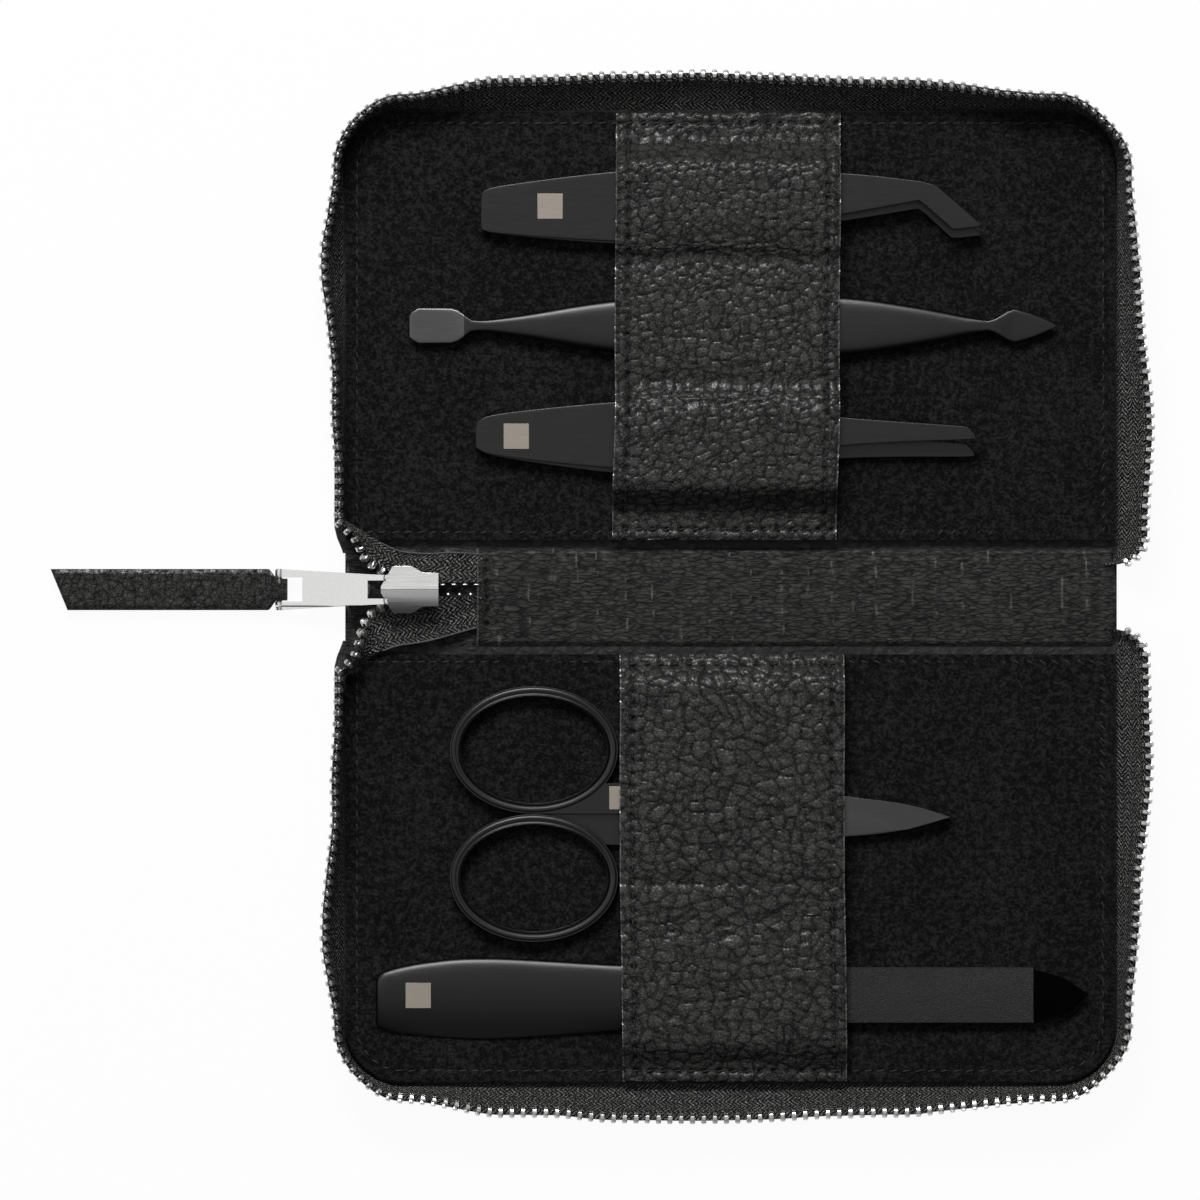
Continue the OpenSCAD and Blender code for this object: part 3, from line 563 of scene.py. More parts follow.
def make_shell_leather():
    """The outer leather, whose grain shows only from very close."""
    finish = Finish("outer_leather", 0.5)
    point = finish.place()
    bent = finish.swirled(point, 5 * MM, 1.6 * MM)
    crown = finish.between(finish.cells(bent, 2.4 * MM, "DISTANCE_TO_EDGE"), 0.0, 0.3)
    small = finish.between(finish.cells(bent, 0.8 * MM, "DISTANCE_TO_EDGE"), 0.0, 0.2)
    height = crown * 0.8 + small * 0.2
    roughness = 0.72 - crown * 0.15 + finish.noise(point, 16 * MM, 3.0) * 0.12
    return finish.dress(finish.mix(height, grey(0.005), grey(0.008, 0.03)), roughness,
                        height, 0.2 * MM)


def make_suede():
    finish = Finish("black_suede", 0.95, specular=0.12)
    finish.feed(Sheen_Weight=0.08)
    point = finish.place()
    nap = finish.noise(point, 0.5 * MM, 6.0, 0.3)
    tufts = finish.noise(point, 1.3 * MM, 3.0)
    brushed = finish.noise(point, 13 * MM, 3.0)
    tone = finish.between(nap * 0.5 + tufts * 0.35 + brushed * 0.12, 0.4, 0.64)
    return finish.dress(finish.mix(tone, grey(0.0003), grey(0.018, 0.04)), 1.0 - nap * 0.25,
                        nap * 0.8 + tufts * 0.6, 0.5 * MM)


def make_tape_cloth():
    """Herringbone twill: slanted threads that turn back at every rib, with painted sheen on their
    crowns.
    """
    rib, thread = 1.3 * MM, 0.85 * MM
    finish = Finish("zip_tape_cloth", 0.75, specular=0.1)
    along = finish.node("SeparateXYZ", {}, {0: finish.cloth()}, out="X")
    zigzag = finish.node("Math", {"operation": "PINGPONG"}, {0: along.other("Y"), 1: rib})
    uneven = finish.noise(finish.place(), 1.1 * MM, 3.0) * (0.9 * MM)
    phase = finish.node("Math", {"operation": "FRACT"}, {0: (along + zigzag + uneven) / thread})
    strand = finish.node("Math", {"operation": "SINE"}, {0: phase * math.pi})
    sheen_dots = finish.noise(finish.place(), 0.25 * MM, 4.0)
    # painted sheen: the crowns of the threads are painted pale in dots over the black tape
    level = (strand ** 2.2) * finish.between(sheen_dots, 0.36, 0.62)
    return finish.dress(finish.mix(level, grey(0.0005), grey(0.42, 0.02)), 0.85 - strand * 0.25,
                        level, 0.6 * MM)


def make_thread(name, dark, light):
    finish = Finish(name, 0.6, specular=0.4)
    twist = finish.noise(finish.place(), 0.18 * MM, 3.0)
    return finish.dress(finish.mix(twist, grey(dark), grey(light)), 0.75 - twist * 0.2,
                        twist, 0.05 * MM)


def make_board():
    finish = Finish("stiffener_board", 0.9)
    fibre = finish.noise(finish.place((1, 6, 1)), 1.5 * MM, 5.0)
    return finish.dress(finish.mix(fibre, grey(0.16, 0.12), grey(0.27, 0.12)),
                        0.95 - fibre * 0.15, fibre, 0.05 * MM)


# %% Metals
def make_steel(name, dark, light, gloss):
    """Steel ground along its length: long faint lines and slow cloudy patches."""
    finish = Finish(name, gloss, metallic=1.0)
    lines = finish.noise(finish.place((0.02, 1, 1)), 0.12 * MM, 4.0)
    cloud = finish.noise(finish.place(), 8 * MM, 2.0)
    level = lines * 0.75 + cloud * 0.25
    return finish.dress(finish.mix(level, grey(dark), grey(light, 0.01)),
                        (gloss - 0.1) + lines * 0.2, lines, 0.006 * MM, 0.7)


def make_grit():
    """Sharp grains bonded to the file, a few of them catching the light."""
    finish = Finish("file_grit", 0.55)
    point = finish.place()
    grains = finish.cells(point, 0.22 * MM)
    loose = finish.noise(point, 0.5 * MM, 5.0)
    spark = finish.between(finish.cells(point, 0.16 * MM), 0.55, 0.2)
    colour = finish.mix(loose * 0.6 + spark * 0.4, grey(0.003), grey(0.02))
    return finish.dress(colour, 0.8 - spark * 0.3, grains + loose, 0.12 * MM)


def make_inlay():
    """Bare pale metal let into the handles."""
    finish = Finish("inlay", 0.35, metallic=0.35)
    lines = finish.noise(finish.place((0.05, 1, 1)), 0.1 * MM, 4.0)
    colour = finish.mix(lines, (0.28, 0.244, 0.203, 1), (0.37, 0.33, 0.28, 1))
    return finish.dress(colour, 0.3 + lines * 0.15, lines, 0.008 * MM)


strap_leather = make_leather("strap_leather", 0.06, 0.0005, 0.27)
spine_leather_finish = make_leather("spine_leather", 0.075, 0.001, 0.36, 0.3)
strip_leather = make_leather("strip_leather", 0.05, 0.0005, 0.26)
shell_leather = make_shell_leather()
suede = make_suede()
tape_cloth = make_tape_cloth()
strap_thread = make_thread("strap_thread", 0.004, 0.018)
lining_thread = make_thread("lining_thread", 0.006, 0.05)
selvedge = make_thread("selvedge", 0.01, 0.13)
board_card = make_board()
black_steel = make_steel("black_steel", 0.03, 0.05, 0.34)
ground_steel = make_steel("ground_black_steel", 0.08, 0.13, 0.3)
blade_steel = make_steel("blade_black_steel", 0.06, 0.1, 0.32)
gloss_steel = make_steel("polished_black_tip", 0.001, 0.003, 0.3)
zip_silver = make_steel("zip_silver", 0.42, 0.7, 0.28)
slider_silver = make_steel("slider_silver", 0.62, 0.72, 0.24)
pull_silver = make_steel("pull_silver", 0.72, 0.84, 0.26)
grit = make_grit()
inlay = make_inlay()
print("finishes:", len(bpy.data.materials))

# %% [markdown]
# ## Covers
# Each cover is a sandwich: outer leather, a stiff board and a suede lining. The leather is
# one skin from the spine outwards, so it has to bend where the cover folds. A plate cut by a
# boolean would have no points there to bend. Rows of points across the cover, closer
# together at the fold and round the corners, give it both its round outline and points to bend on.

# %% Sizes of the covers, read from the model
lining_low, lining_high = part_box("upper_lining")
spine_low, spine_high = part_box("spine_leather")
X0, X1 = lining_low.x, lining_high.x
FOLD_Y = spine_high.y
FAR_Y = lining_high.y
LEATHER_T = spine_high.z
FLOOR_Z = lining_high.z
CORNER = 10.5 * MM
FOLD_HALF = 1.4 * MM
EDGE_STEPS = np.array([0, 0.06, 0.2, 0.45, 0.8]) * MM
print("fold at", round(FOLD_Y / MM, 2), "mm, far edge of a lining at", round(FAR_Y / MM, 2), "mm")


def cover_rows(grow, start, step, extra=()):
    """Rows of X and Y across the upper cover, and how far each point is from its edge."""
    radius, far = CORNER + grow, FAR_Y + grow
    straight = np.arange(start, far - radius, step)
    arc = far - radius + radius * np.sin(np.linspace(0, math.pi / 2, 15))
    ys = np.unique(np.concatenate([straight, arc, far - EDGE_STEPS, np.array(extra)]))
    rise = np.clip(ys - (far - radius), 0, radius)
    inset = radius - np.sqrt(np.clip(radius ** 2 - rise ** 2, 0, None))
    spread = grow * (0.15 + 0.85 * ease((ys - FOLD_Y + 2.5 * MM) / (6 * MM)))
    left, right = (X0 - spread)[:, None], (X1 + spread)[:, None]
    middle = np.linspace(0, 1, int((X1 - X0) / step))
    rows_x, rows_y = [], []
    for y, short, wide in zip(ys, inset, spread):
        low, high = X0 - wide + short, X1 + wide - short
        inner = low + EDGE_STEPS[-1] + (high - low - 2 * EDGE_STEPS[-1]) * middle
        rows_x.append(np.concatenate([low + EDGE_STEPS[:-1], inner, high - EDGE_STEPS[-2::-1]]))
        rows_y.append(np.full(len(rows_x[-1]), y))
    x, y = np.array(rows_x), np.array(rows_y)
    side = np.minimum(x - left, right - x) - radius
    end = (far - y) - radius
    corner = np.hypot(np.minimum(side, 0), np.minimum(end, 0))
    inside = radius - corner + np.minimum(np.maximum(side, 0), np.maximum(end, 0))
    return x, y, np.clip(inside, 0, None)


def rounded_plate(name, x, y, inside, low, high, top=0.0, side=1):
    """Closed plate over those rows with rolled edges; side -1 mirrors it to the lower cover."""
    half = (high - low) / 2
    depth = np.clip(1 - inside / half, 0, 1)
    bulge = half * np.sqrt(1 - depth ** 2)
    middle = (low + high) / 2
    upper = spots(x, side * y, middle + bulge + top)
    under = spots(x, side * y, middle - bulge)[:, ::-1]
    return outward(loft(name, beside(upper, under)))


# %% Outer leather
COVERS = {"upper": 1, "lower": -1}
LEATHER_MARGIN = 2.0 * MM


def make_outer_leather():
    fold_rows = FOLD_Y + np.linspace(-FOLD_HALF, FOLD_HALF, 13)
    x, y, inside = cover_rows(LEATHER_MARGIN, FOLD_Y - FOLD_HALF, 2.4 * MM, fold_rows)
    sag = 0.1 * MM * waves(x, y, 14 * MM, 5) * ease(inside / (4 * MM))
    for cover, side in COVERS.items():
        made = rounded_plate(cover + "_outer_leather", x, y, inside, 0, LEATHER_T, -abs(sag), side)
        smooth(made)
        bend = across_fold(cover, side, FOLD_Y - 1.2 * MM, FOLD_Y + 1.2 * MM)
        put(made, bend, "black_leather", shell_leather, cover + "_leather")
    along, aside = np.meshgrid(np.linspace(spine_low.x, spine_high.x, 60),
                               np.linspace(-1, 1, 9) * (FOLD_Y - FOLD_HALF))
    ends = np.minimum(along - spine_low.x, spine_high.x - along)
    back = rounded_plate("spine_outer_leather", along, aside, ends + 0.05 * MM, 0, LEATHER_T)
    put(smooth(back), "spine", "black_leather", shell_leather, "spine_leather")
    print("rows across a cover:", len(y))


make_outer_leather()

# %% Suede linings
LINING_SAG = 0.14 * MM
SEAM_IN = 2.2 * MM
SEAM_DIP = 0.18 * MM


def make_linings():
    x, y, inside = cover_rows(0, lining_low.y, 1.1 * MM)
    for cover, side in COVERS.items():
        lift = LINING_SAG * (waves(x, y, 15 * MM, 7 + side) + 0.4 * waves(x, y, 5 * MM, 3 + side))
        sewn = ridge(inside - SEAM_IN, 0.5 * MM)
        top = (lift - LINING_SAG * 1.4) * ease(inside / (3 * MM)) - SEAM_DIP * sewn
        made = rounded_plate(cover + "_suede", x, y, inside, lining_low.z, FLOOR_Z, top, side)
        put(smooth(made), cover + "_cover", "black_suede", suede, cover + "_lining")
        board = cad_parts[cover + "_board"]
        board.data.materials.clear()
        board.data.materials.append(board_card)


make_linings()

# %% [markdown]
# ## Copies along a path
# Teeth and stitches are one small shape repeated along a line that bends and leans. Copying
# it in a loop would fix their number, and an Array modifier can't lean them. A Geometry Nodes
# tree walks a path at an even pitch and stands a copy at each step, upright along a direction
# that the path carries, so one tree makes every row of teeth and every seam.

# %% Build the copying tree
def make_copies_tree():
    group = bpy.data.node_groups.new("copies_along_path", "GeometryNodeTree")
    inputs = {"Path": "Geometry", "Pitch": "Float", "Copy": "Object",
              "Finish": "Material", "Unevenness": "Float", "Seed": "Int"}
    for name, kind in inputs.items():
        group.interface.new_socket(name, in_out="INPUT", socket_type="NodeSocket" + kind)
    group.interface.new_socket("Copies", in_out="OUTPUT", socket_type="NodeSocketGeometry")
    tree, turn = Nodes(group), "FunctionNodeAlignRotationToVector"
    path = tree.node("NodeGroupInput")
    curve = tree.node("GeometryNodeMeshToCurve", {}, {"Mesh": path})
    walk = tree.node("GeometryNodeCurveToPoints", {"mode": "LENGTH"},
                     {"Curve": curve, "Length": path.other("Pitch")})
    up = tree.node("GeometryNodeInputNamedAttribute", {"data_type": "FLOAT_VECTOR"},
                   {"Name": "up"}, out="Attribute")
    stand = tree.node(turn, {"axis": "Z"}, {"Vector": up})
    face = tree.node(turn, {"axis": "X", "pivot_axis": "Z"},
                     {"Rotation": stand, "Vector": walk.other("Tangent")})
    # sockets 2 and 1 are the lowest number and the result of a random number, not a vector
    size = tree.node("FunctionNodeRandomValue", {},
                     {2: 1.0 - path.other("Unevenness"), "Seed": path.other("Seed")}, out=1)
    copy = tree.node("GeometryNodeObjectInfo", {}, {"Object": path.other("Copy")}, out="Geometry")
    placed = tree.node("GeometryNodeInstanceOnPoints", {},
                       {"Points": walk, "Instance": copy, "Rotation": face, "Scale": size})
    real = tree.node("GeometryNodeRealizeInstances", {}, {"Geometry": placed})
    done = tree.node("GeometryNodeSetMaterial", {},
                     {"Geometry": real, "Material": path.other("Finish")})
    tree.node("NodeGroupOutput", {}, {"Copies": done})
    return group


copies_tree = make_copies_tree()
print("nodes in the tree:", len(copies_tree.nodes))


def copies_along(name, path, up, pitch, copy, finish, unevenness=0.0, seed=1):
    """A plain mesh of copies standing every pitch along a path of points."""
    path = np.asarray(path, float)
    links = [(i, i + 1) for i in range(len(path) - 1)]
    mesh = bpy.data.meshes.new(name)
    mesh.from_pydata(path.tolist(), links, [])
    kept = mesh.attributes.new("up", "FLOAT_VECTOR", "POINT")
    kept.data.foreach_set("vector", np.broadcast_to(up, path.shape).astype(np.float32).ravel())
    made = new_object(name, mesh)
    modifier = made.modifiers.new("copies", "NODES")
    modifier.node_group = copies_tree
    values = {"Pitch": pitch, "Copy": copy, "Finish": finish, "Unevenness": unevenness, "Seed": seed}
    for item in copies_tree.interface.items_tree:
        if item.in_out == "INPUT" and item.name in values:
            modifier[item.identifier] = values[item.name]
    return apply_modifiers(made)


def join(name, pieces):
    """One mesh from several pieces that move together."""
    whole = bmesh.new()
    for piece in pieces:
        whole.from_mesh(piece.data)
        bpy.data.objects.remove(piece)
    mesh = bpy.data.meshes.new(name)
    whole.to_mesh(mesh)
    whole.free()
    return new_object(name, mesh)


def unlinked(made):
    """Keeps a shape as a pattern for copies, out of the scene."""
    bpy.context.scene.collection.objects.unlink(made)
    return made


# %% Stitch and its seams
STITCH_LEN, STITCH_PITCH, LINING_PITCH = 1.75 * MM, 2.5 * MM, 2.3 * MM
STITCH_SLANT = 0.16
STITCH_SINK = 0.28 * MM
UPWARD = (0.0, 0.0, 1.0)


def make_stitch(name, width):
    """A short thread that dips into the leather at both ends."""
    rings = []
    for t in np.linspace(-1, 1, 7):
        thick = width / 2 * math.sqrt(max(1 - t ** 4, 0.05))
        x, sink = STITCH_LEN / 2 * t, -STITCH_SINK * t ** 4
        rings.append([(x, STITCH_SLANT * x + thick * math.cos(a), sink + 0.8 * thick * math.sin(a))
                      for a in circle(6)])
    return unlinked(smooth(outward(loft(name, rings)), 80))


strap_stitch = make_stitch("strap_stitch", 0.4 * MM)
lining_stitch = make_stitch("lining_stitch", 0.24 * MM)


def seam(name, path, pitch, pattern, finish, seed):
    return copies_along(name, path, UPWARD, pitch, pattern, finish, 0.15, seed)


def round_path(grow, side, height, fold_inset):
    """A line round a cover at an even distance from its edge, open at the fold."""
    radius = CORNER + grow
    low, high, far = X0 - grow, X1 + grow, FAR_Y + grow
    turn = np.linspace(0, math.pi / 2, 10)
    line = [(low, lining_low.y + fold_inset)]
    line += [(low + radius * (1 - math.cos(a)), far - radius + radius * math.sin(a)) for a in turn]
    line += [(high - radius * (1 - math.sin(a)), far - radius + radius * math.cos(a)) for a in turn]
    line += [(high, lining_low.y + fold_inset), (low, lining_low.y + fold_inset)]
    return [(x, side * y, height) for x, y in line]


def make_lining_seams():
    for cover, side in COVERS.items():
        path = round_path(-SEAM_IN, side, FLOOR_Z - 0.2 * MM, 1.4 * MM)
        made = seam(cover + "_lining_seam", path, LINING_PITCH, lining_stitch, lining_thread, 3 + side)
        put(made, cover + "_cover", "black_suede", lining_thread)
    print("stitches round a lining:", len(made.data.polygons) // len(lining_stitch.data.polygons))


make_lining_seams()

# %% [markdown]
# ## Spine leather
# The strip along the spine is thin leather pressed onto the outer one, so it keeps a small
# grain, rises a little along its middle and is drawn down into the two folds. A flat plate
# with a bump would end in a hard edge there, so its rows are lowered towards both sides.

# %% Press the spine's lining
SPINE_STEP = 0.3 * MM
TAIL_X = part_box("zip_start_teeth")[1].x + 0.5 * MM
TAIL_SEAM_IN, TAIL_SEAM_HALF = 1.9 * MM, 7 * MM
HOLE_R = 0.38 * MM
TICK_PITCH, TICK_HALF = 4.6 * MM, 0.24 * MM
SPINE_CROWN, SPINE_GRAIN, PRESSED = 0.22 * MM, 0.2 * MM, 0.12 * MM
OVER_TAPE, SEAM_HALF = 1.5 * MM, 0.45 * MM
TAIL_BOW, TAIL_BOW_LEN = 0.8 * MM, 8 * MM


def needle_holes(along, across):
    """Small round dips at an even pitch along a seam line."""
    off = along - np.round(along / STITCH_PITCH) * STITCH_PITCH
    return ridge(off, HOLE_R) * ridge(across, HOLE_R)


def make_spine_lining():
    low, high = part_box("spine_lining")
    half = high.y + 0.5 * MM
    xs = np.arange(low.x, high.x, SPINE_STEP)
    ys = np.linspace(-half, half, int(2 * half / SPINE_STEP))
    x, y = np.meshgrid(xs, ys, indexing="ij")
    streaks = 1 - abs(waves(x / 4, y + 0.3 * MM * waves(x, y, 5 * MM, 17), 0.5 * MM, 16)) * 1.7
    height = 0.5 * leather_height(x / 2.2, y, 1.3 * MM, 11) + 0.3 * np.clip(streaks, 0, 1)
    line = x + 1.1 * MM * waves(x * 0, y, 4 * MM, 12) + 1.5 * MM * waves(x, y * 0, 7 * MM, 13)
    off = line - np.round(line / TICK_PITCH) * TICK_PITCH
    ticks = ridge(off, TICK_HALF) * ease(3 * waves(x, y, 1.5 * MM, 15) - 0.6)
    height = np.maximum(height, 1.15 * ticks)
    down = 1 - ease((half - abs(y)) / (1.1 * MM))
    ends = 1 - ease(np.minimum(x - low.x, high.x - x) / (1.0 * MM))
    across = np.cos(y / half * math.pi / 2)
    crown = SPINE_CROWN * across + 0.06 * MM * waves(x, y, 13 * MM, 4)
    pressed = ridge(half - 1.5 * MM - abs(y), SEAM_HALF) * PRESSED
    past = x - TAIL_X + 0.4 * MM
    over_tape = OVER_TAPE * np.exp(-np.clip(past, 0, None) / (2.6 * MM)) * across ** 0.7
    sewn, past_seam = abs(y) < TAIL_SEAM_HALF, past - TAIL_SEAM_IN
    seam_dip = SEAM_HALF * ridge(past_seam, SEAM_HALF) * sewn
    holes = needle_holes(y, past_seam) * sewn
    shown = np.where(past > 0, over_tape - seam_dip - 0.5 * MM * holes, -0.5 * MM)
    top = high.z - 0.1 * MM + crown + SPINE_GRAIN * height - pressed + shown
    top = top - (top - low.z - 0.12 * MM) * np.maximum(down, ends * 0.8) ** 2
    bow = TAIL_BOW * across * ease((x - high.x + TAIL_BOW_LEN) / TAIL_BOW_LEN)
    x_bowed = x + bow - 0.5 * MM
    rows = spots(x_bowed, y, top)
    under = spots(x_bowed, y, low.z)[:, ::-6]
    # needle holes lower the grain value, so the leather finish paints painted shade into them
    lip = np.where((past > -0.1 * MM) & (past < 1.2 * SPINE_STEP), CUT_MARK, height - 0.6 * holes)
    grain_value = beside(lip, np.zeros(under.shape[:2]))
    made = loft("spine_lining_leather", beside(rows, under), grain_height=grain_value)
    outward(made, 0)
    put(smooth(made, 60), "spine", "black_leather", spine_leather_finish, "spine_lining")
    print("spine lining quads:", len(made.data.polygons))


make_spine_lining()

# %% [markdown]
# ## Tool straps
# Each strap is a band of soft leather sewn to the lining at both ends, so it rises over the
# tools, sinks a little between them and wrinkles where it sinks. Cloth simulation would find
# such a form, but it loses the grain and the seams. Here the strap's section is read from
# its solid, and grain, wrinkles, pressed edges and needle holes are laid on it as heights.

# %% Read a strap's section and lay out its surface
STRAP_STEP = 0.27 * MM
STRAP_T = 1.2 * MM
SEAM_SIDE = 2.3 * MM
SEAM_END = 1.9 * MM
SOFTEN = 20  # samples of a section, 0.1 mm each, that its corners are rounded over
UNDER_POINTS = 12


def strap_section(node, side):
    """Height of the strap's top against its distance from the middle of the case."""
    points = np.array([v.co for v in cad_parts[node].data.vertices])
    end = points[points[:, 0] < points[:, 0].min() + 0.01 * MM]
    ys = np.unique(np.round(side * end[:, 1], 6))
    tops = [end[abs(side * end[:, 1] - y) < 0.002 * MM, 2].max() for y in ys]
    fine = np.arange(ys[0], ys[-1], 0.1 * MM)
    height = np.interp(fine, ys, tops)
    kernel = ridge(np.arange(-SOFTEN, SOFTEN + 1), 9.0)
    padded = np.pad(height, SOFTEN, mode="edge")
    return fine, np.convolve(padded, kernel / kernel.sum(), mode="valid")


def even_steps(ys, zs, step):
    """Points an even distance apart along a section."""
    way = way_along(spots(ys, zs))
    marks = np.linspace(0, way[-1], int(way[-1] / step))
    return marks, np.interp(marks, way, ys), np.interp(marks, way, zs)


def strap_relief(x, way, y, length, sinks, slant, cell, seed):
    """Height added to the strap's section at each point, and how deep it lies in the grain."""
    low, high = x.min(), x.max()
    height = leather_height(x / 1.2, way, cell, seed)
    relief = 0.5 * MM * (height - 0.6) + 0.16 * MM * waves(x, way, 8 * MM, seed)
    for sink, depth in sinks:
        bent = y - sink + 1.2 * MM * waves(x, y, 14 * MM, seed + 5)
        near = ridge(bent, 2.9 * MM)
        strayed = way + 0.8 * MM * waves(x, way, 5 * MM, seed + 8)
        folds = 1 - abs(waves(x / 6, strayed, 0.9 * MM, seed + 9))
        relief = relief - depth * near + 0.3 * MM * near * (folds - 0.5)
    creased = waves((x - way * slant * 2) / 5, way + x * slant, 2.6 * MM, seed + 7)
    relief = relief + 0.3 * MM * creased * slant
    edge = np.minimum(x - low, high - x)
    end = np.minimum(way, length - way)
    from_side, from_end = edge - SEAM_SIDE, end - SEAM_END
    sewn = np.maximum(ridge(from_side, 0.5 * MM) * ease(end / (1 * MM)), ridge(from_end, 0.5 * MM))
    holes = np.clip(needle_holes(way, from_side) + needle_holes(x - low, from_end), 0, 1)
    relief = relief - 0.2 * MM * sewn - 0.45 * MM * holes
    relief = relief - 0.25 * MM * (1 - ease(edge / (1.2 * MM)))
    relief = relief - 0.3 * MM * (1 - ease(end / (0.8 * MM)))
    # needle holes lower the grain value, so the leather finish paints painted shade into them
    return relief, np.where(edge < 0.12 * MM, CUT_MARK, height - 0.6 * holes)


def make_strap(cover, side, lean, slant, cell, seed, sinks):
    """A strap that leans by lean, with creases at a slant and grain cells of one size."""
    node = cover + "_strap"
    low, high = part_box(node)
    ys, zs = strap_section(node, side)
    way, ys, zs = even_steps(ys, zs, STRAP_STEP)
    slope = np.gradient(zs, ys)
    xs = np.linspace(low.x, high.x, int((high.x - low.x) / STRAP_STEP))
    way_grid, x = np.meshgrid(way, xs, indexing="ij")
    y = np.broadcast_to(ys[:, None], x.shape)
    dips = [(FOLD_Y + far, depth) for far, depth in sinks]
    relief, height = strap_relief(x, way_grid, y, way[-1], dips, slant, cell, seed)
    lay = np.hypot(1, slope)[:, None]
    shift = lean * (y - ys[0]) / (ys[-1] - ys[0]) + 0.25 * MM * waves(x * 0, y, 17 * MM, seed + 9)
    top_y = y - relief * slope[:, None] / lay
    top_z = zs[:, None] + relief / lay
    top = spots(x + shift, side * top_y, top_z)
    keep = np.linspace(len(xs) - 1, 0, UNDER_POINTS).astype(int)
    under = spots(x + shift, side * y, np.minimum(zs[:, None], top_z) - STRAP_T)[:, keep]
    grain_value = beside(height, np.zeros((len(ys), UNDER_POINTS)))
    made = loft(cover + "_tool_strap", beside(top, under), grain_height=grain_value)
    outward(made, 0)
    put(smooth(made, 65), cover + "_cover", "black_leather", strap_leather, node)
    make_strap_seams(cover, side, low.x, high.x, shift[:, 0], ys, zs, seed)
    print(node, "quads:", len(made.data.polygons))


def make_strap_seams(cover, side, low, high, shift, ys, zs, seed):
    drop = 0.12 * MM
    lines = []
    for x in (low + SEAM_SIDE, high - SEAM_SIDE):
        lines.append([(x + s, side * y, z - drop) for s, y, z in zip(shift, ys, zs)][4:-4])
    first = int(SEAM_END / STRAP_STEP)
    for row in (first, len(ys) - 1 - first):
        lines.append([(x + shift[row], side * ys[row], zs[row] - drop)
                      for x in np.linspace(low + SEAM_SIDE, high - SEAM_SIDE, 9)])
    rows = [seam(f"{cover}_strap_seam_{i}", line, STITCH_PITCH, strap_stitch, strap_thread, seed + i)
            for i, line in enumerate(lines)]
    made = join(cover + "_strap_seams", rows)
    put(made, cover + "_cover", "black_leather", strap_thread)


# each sink is a distance from the fold and a depth
make_strap("upper", 1, 0.7 * MM, 0.0, 1.75 * MM, 21,
           [(28.5 * MM, 0.9 * MM), (54.6 * MM, 0.8 * MM)])
make_strap("lower", -1, 0.2 * MM, 0.36, 2.05 * MM, 35, [(50.0 * MM, 0.4 * MM)])

# %% [markdown]
# ## Zip tape
# The tape stands on edge between the leather and the lining and leans out along each side of
# the cover, least at the corners. A curve with a bevel would twist there. Its edge is a line
# with an outward heading at every distance, so each section is placed from a distance along
# the tape and a height up it, and the cord that the teeth grip is part of the section.

# %% Line of the tape round a cover
BRIDGE_GAP = 5.0 * MM
FREE_GAP = 0.5 * MM
TAPE_REACH, TAPE_BASE, TAPE_T = 8.4 * MM, 0.35 * MM, 0.6 * MM
LEAN_PULL, LEAN_CORNER, LEAN_FAR, LEAN_FREE = 3.0 * MM, 0.6 * MM, 5.8 * MM, 5.2 * MM
RUN_SIDE = FAR_Y - FOLD_Y - CORNER
RUN_PULL, RUN_FREE = RUN_SIDE - BRIDGE_GAP, RUN_SIDE - FREE_GAP
RUN_CORNER = math.pi / 2 * CORNER
RUN_FAR = X1 - X0 - 2 * CORNER
EDGE_LEN = RUN_PULL + RUN_FAR + RUN_FREE + 2 * RUN_CORNER
AFTER_PULL = RUN_PULL + RUN_CORNER
AFTER_FAR = AFTER_PULL + RUN_FAR
# distances along the tape, and how far it leans out there
LEAN_PLACES = [
    (0, 0.06 * LEAN_PULL), (0.35 * RUN_PULL, 0.3 * LEAN_PULL), (0.75 * RUN_PULL, LEAN_PULL),
    (RUN_PULL, 1.4 * LEAN_CORNER), (RUN_PULL + 0.5 * RUN_CORNER, LEAN_CORNER),
    (AFTER_PULL, 0.3 * LEAN_FAR), (AFTER_PULL + 0.15 * RUN_FAR, 0.78 * LEAN_FAR),
    (AFTER_PULL + 0.45 * RUN_FAR, LEAN_FAR), (AFTER_PULL + 0.75 * RUN_FAR, 0.75 * LEAN_FAR),
    (AFTER_FAR, 0.3 * LEAN_FAR), (AFTER_FAR + 0.5 * RUN_CORNER, LEAN_CORNER),
    (AFTER_FAR + RUN_CORNER, 0.25 * LEAN_FREE), (EDGE_LEN - 0.65 * RUN_FREE, 0.62 * LEAN_FREE),
    (EDGE_LEN - 0.3 * RUN_FREE, LEAN_FREE), (EDGE_LEN, 0.85 * LEAN_FREE)]
TAPE_FOOT = 0.02 * MM
SWAY, SWAY_SIZE, SWAY_SEED = 0.22 * MM, 9 * MM, 41


def lean_at(s):
    """How far the tape leans out at each distance along it."""
    marks, leans = np.array(LEAN_PLACES).T
    i = np.clip(np.searchsorted(marks, s, side="right") - 1, 0, len(marks) - 2)
    share = ease((s - marks[i]) / (marks[i + 1] - marks[i]))
    return leans[i] + (leans[i + 1] - leans[i]) * share


def tape_at(s, u, t, side=1):
    """Points at distance s along the tape, u up its slope and t outwards through it."""
    s, u, t = np.broadcast_arrays(np.asarray(s, float), u, t)
    past = s - RUN_PULL
    turned = np.clip(past, 0, RUN_CORNER) + np.clip(past - RUN_CORNER - RUN_FAR, 0, RUN_CORNER)
    heading = math.pi - turned / CORNER
    along_far = np.clip(past - RUN_CORNER, 0, RUN_FAR)
    back = np.clip(past - RUN_FAR - 2 * RUN_CORNER, 0, None)
    lean = lean_at(s)
    rise = np.sqrt(TAPE_REACH ** 2 - lean ** 2)
    out = TAPE_BASE + lean * u / TAPE_REACH + t
    x = X0 + CORNER + along_far + (CORNER + out) * np.cos(heading)
    y = FOLD_Y + BRIDGE_GAP + np.minimum(s, RUN_PULL) - back + (CORNER + out) * np.sin(heading)
    return spots(x, side * y, LEATHER_T + TAPE_FOOT + rise * u / TAPE_REACH)


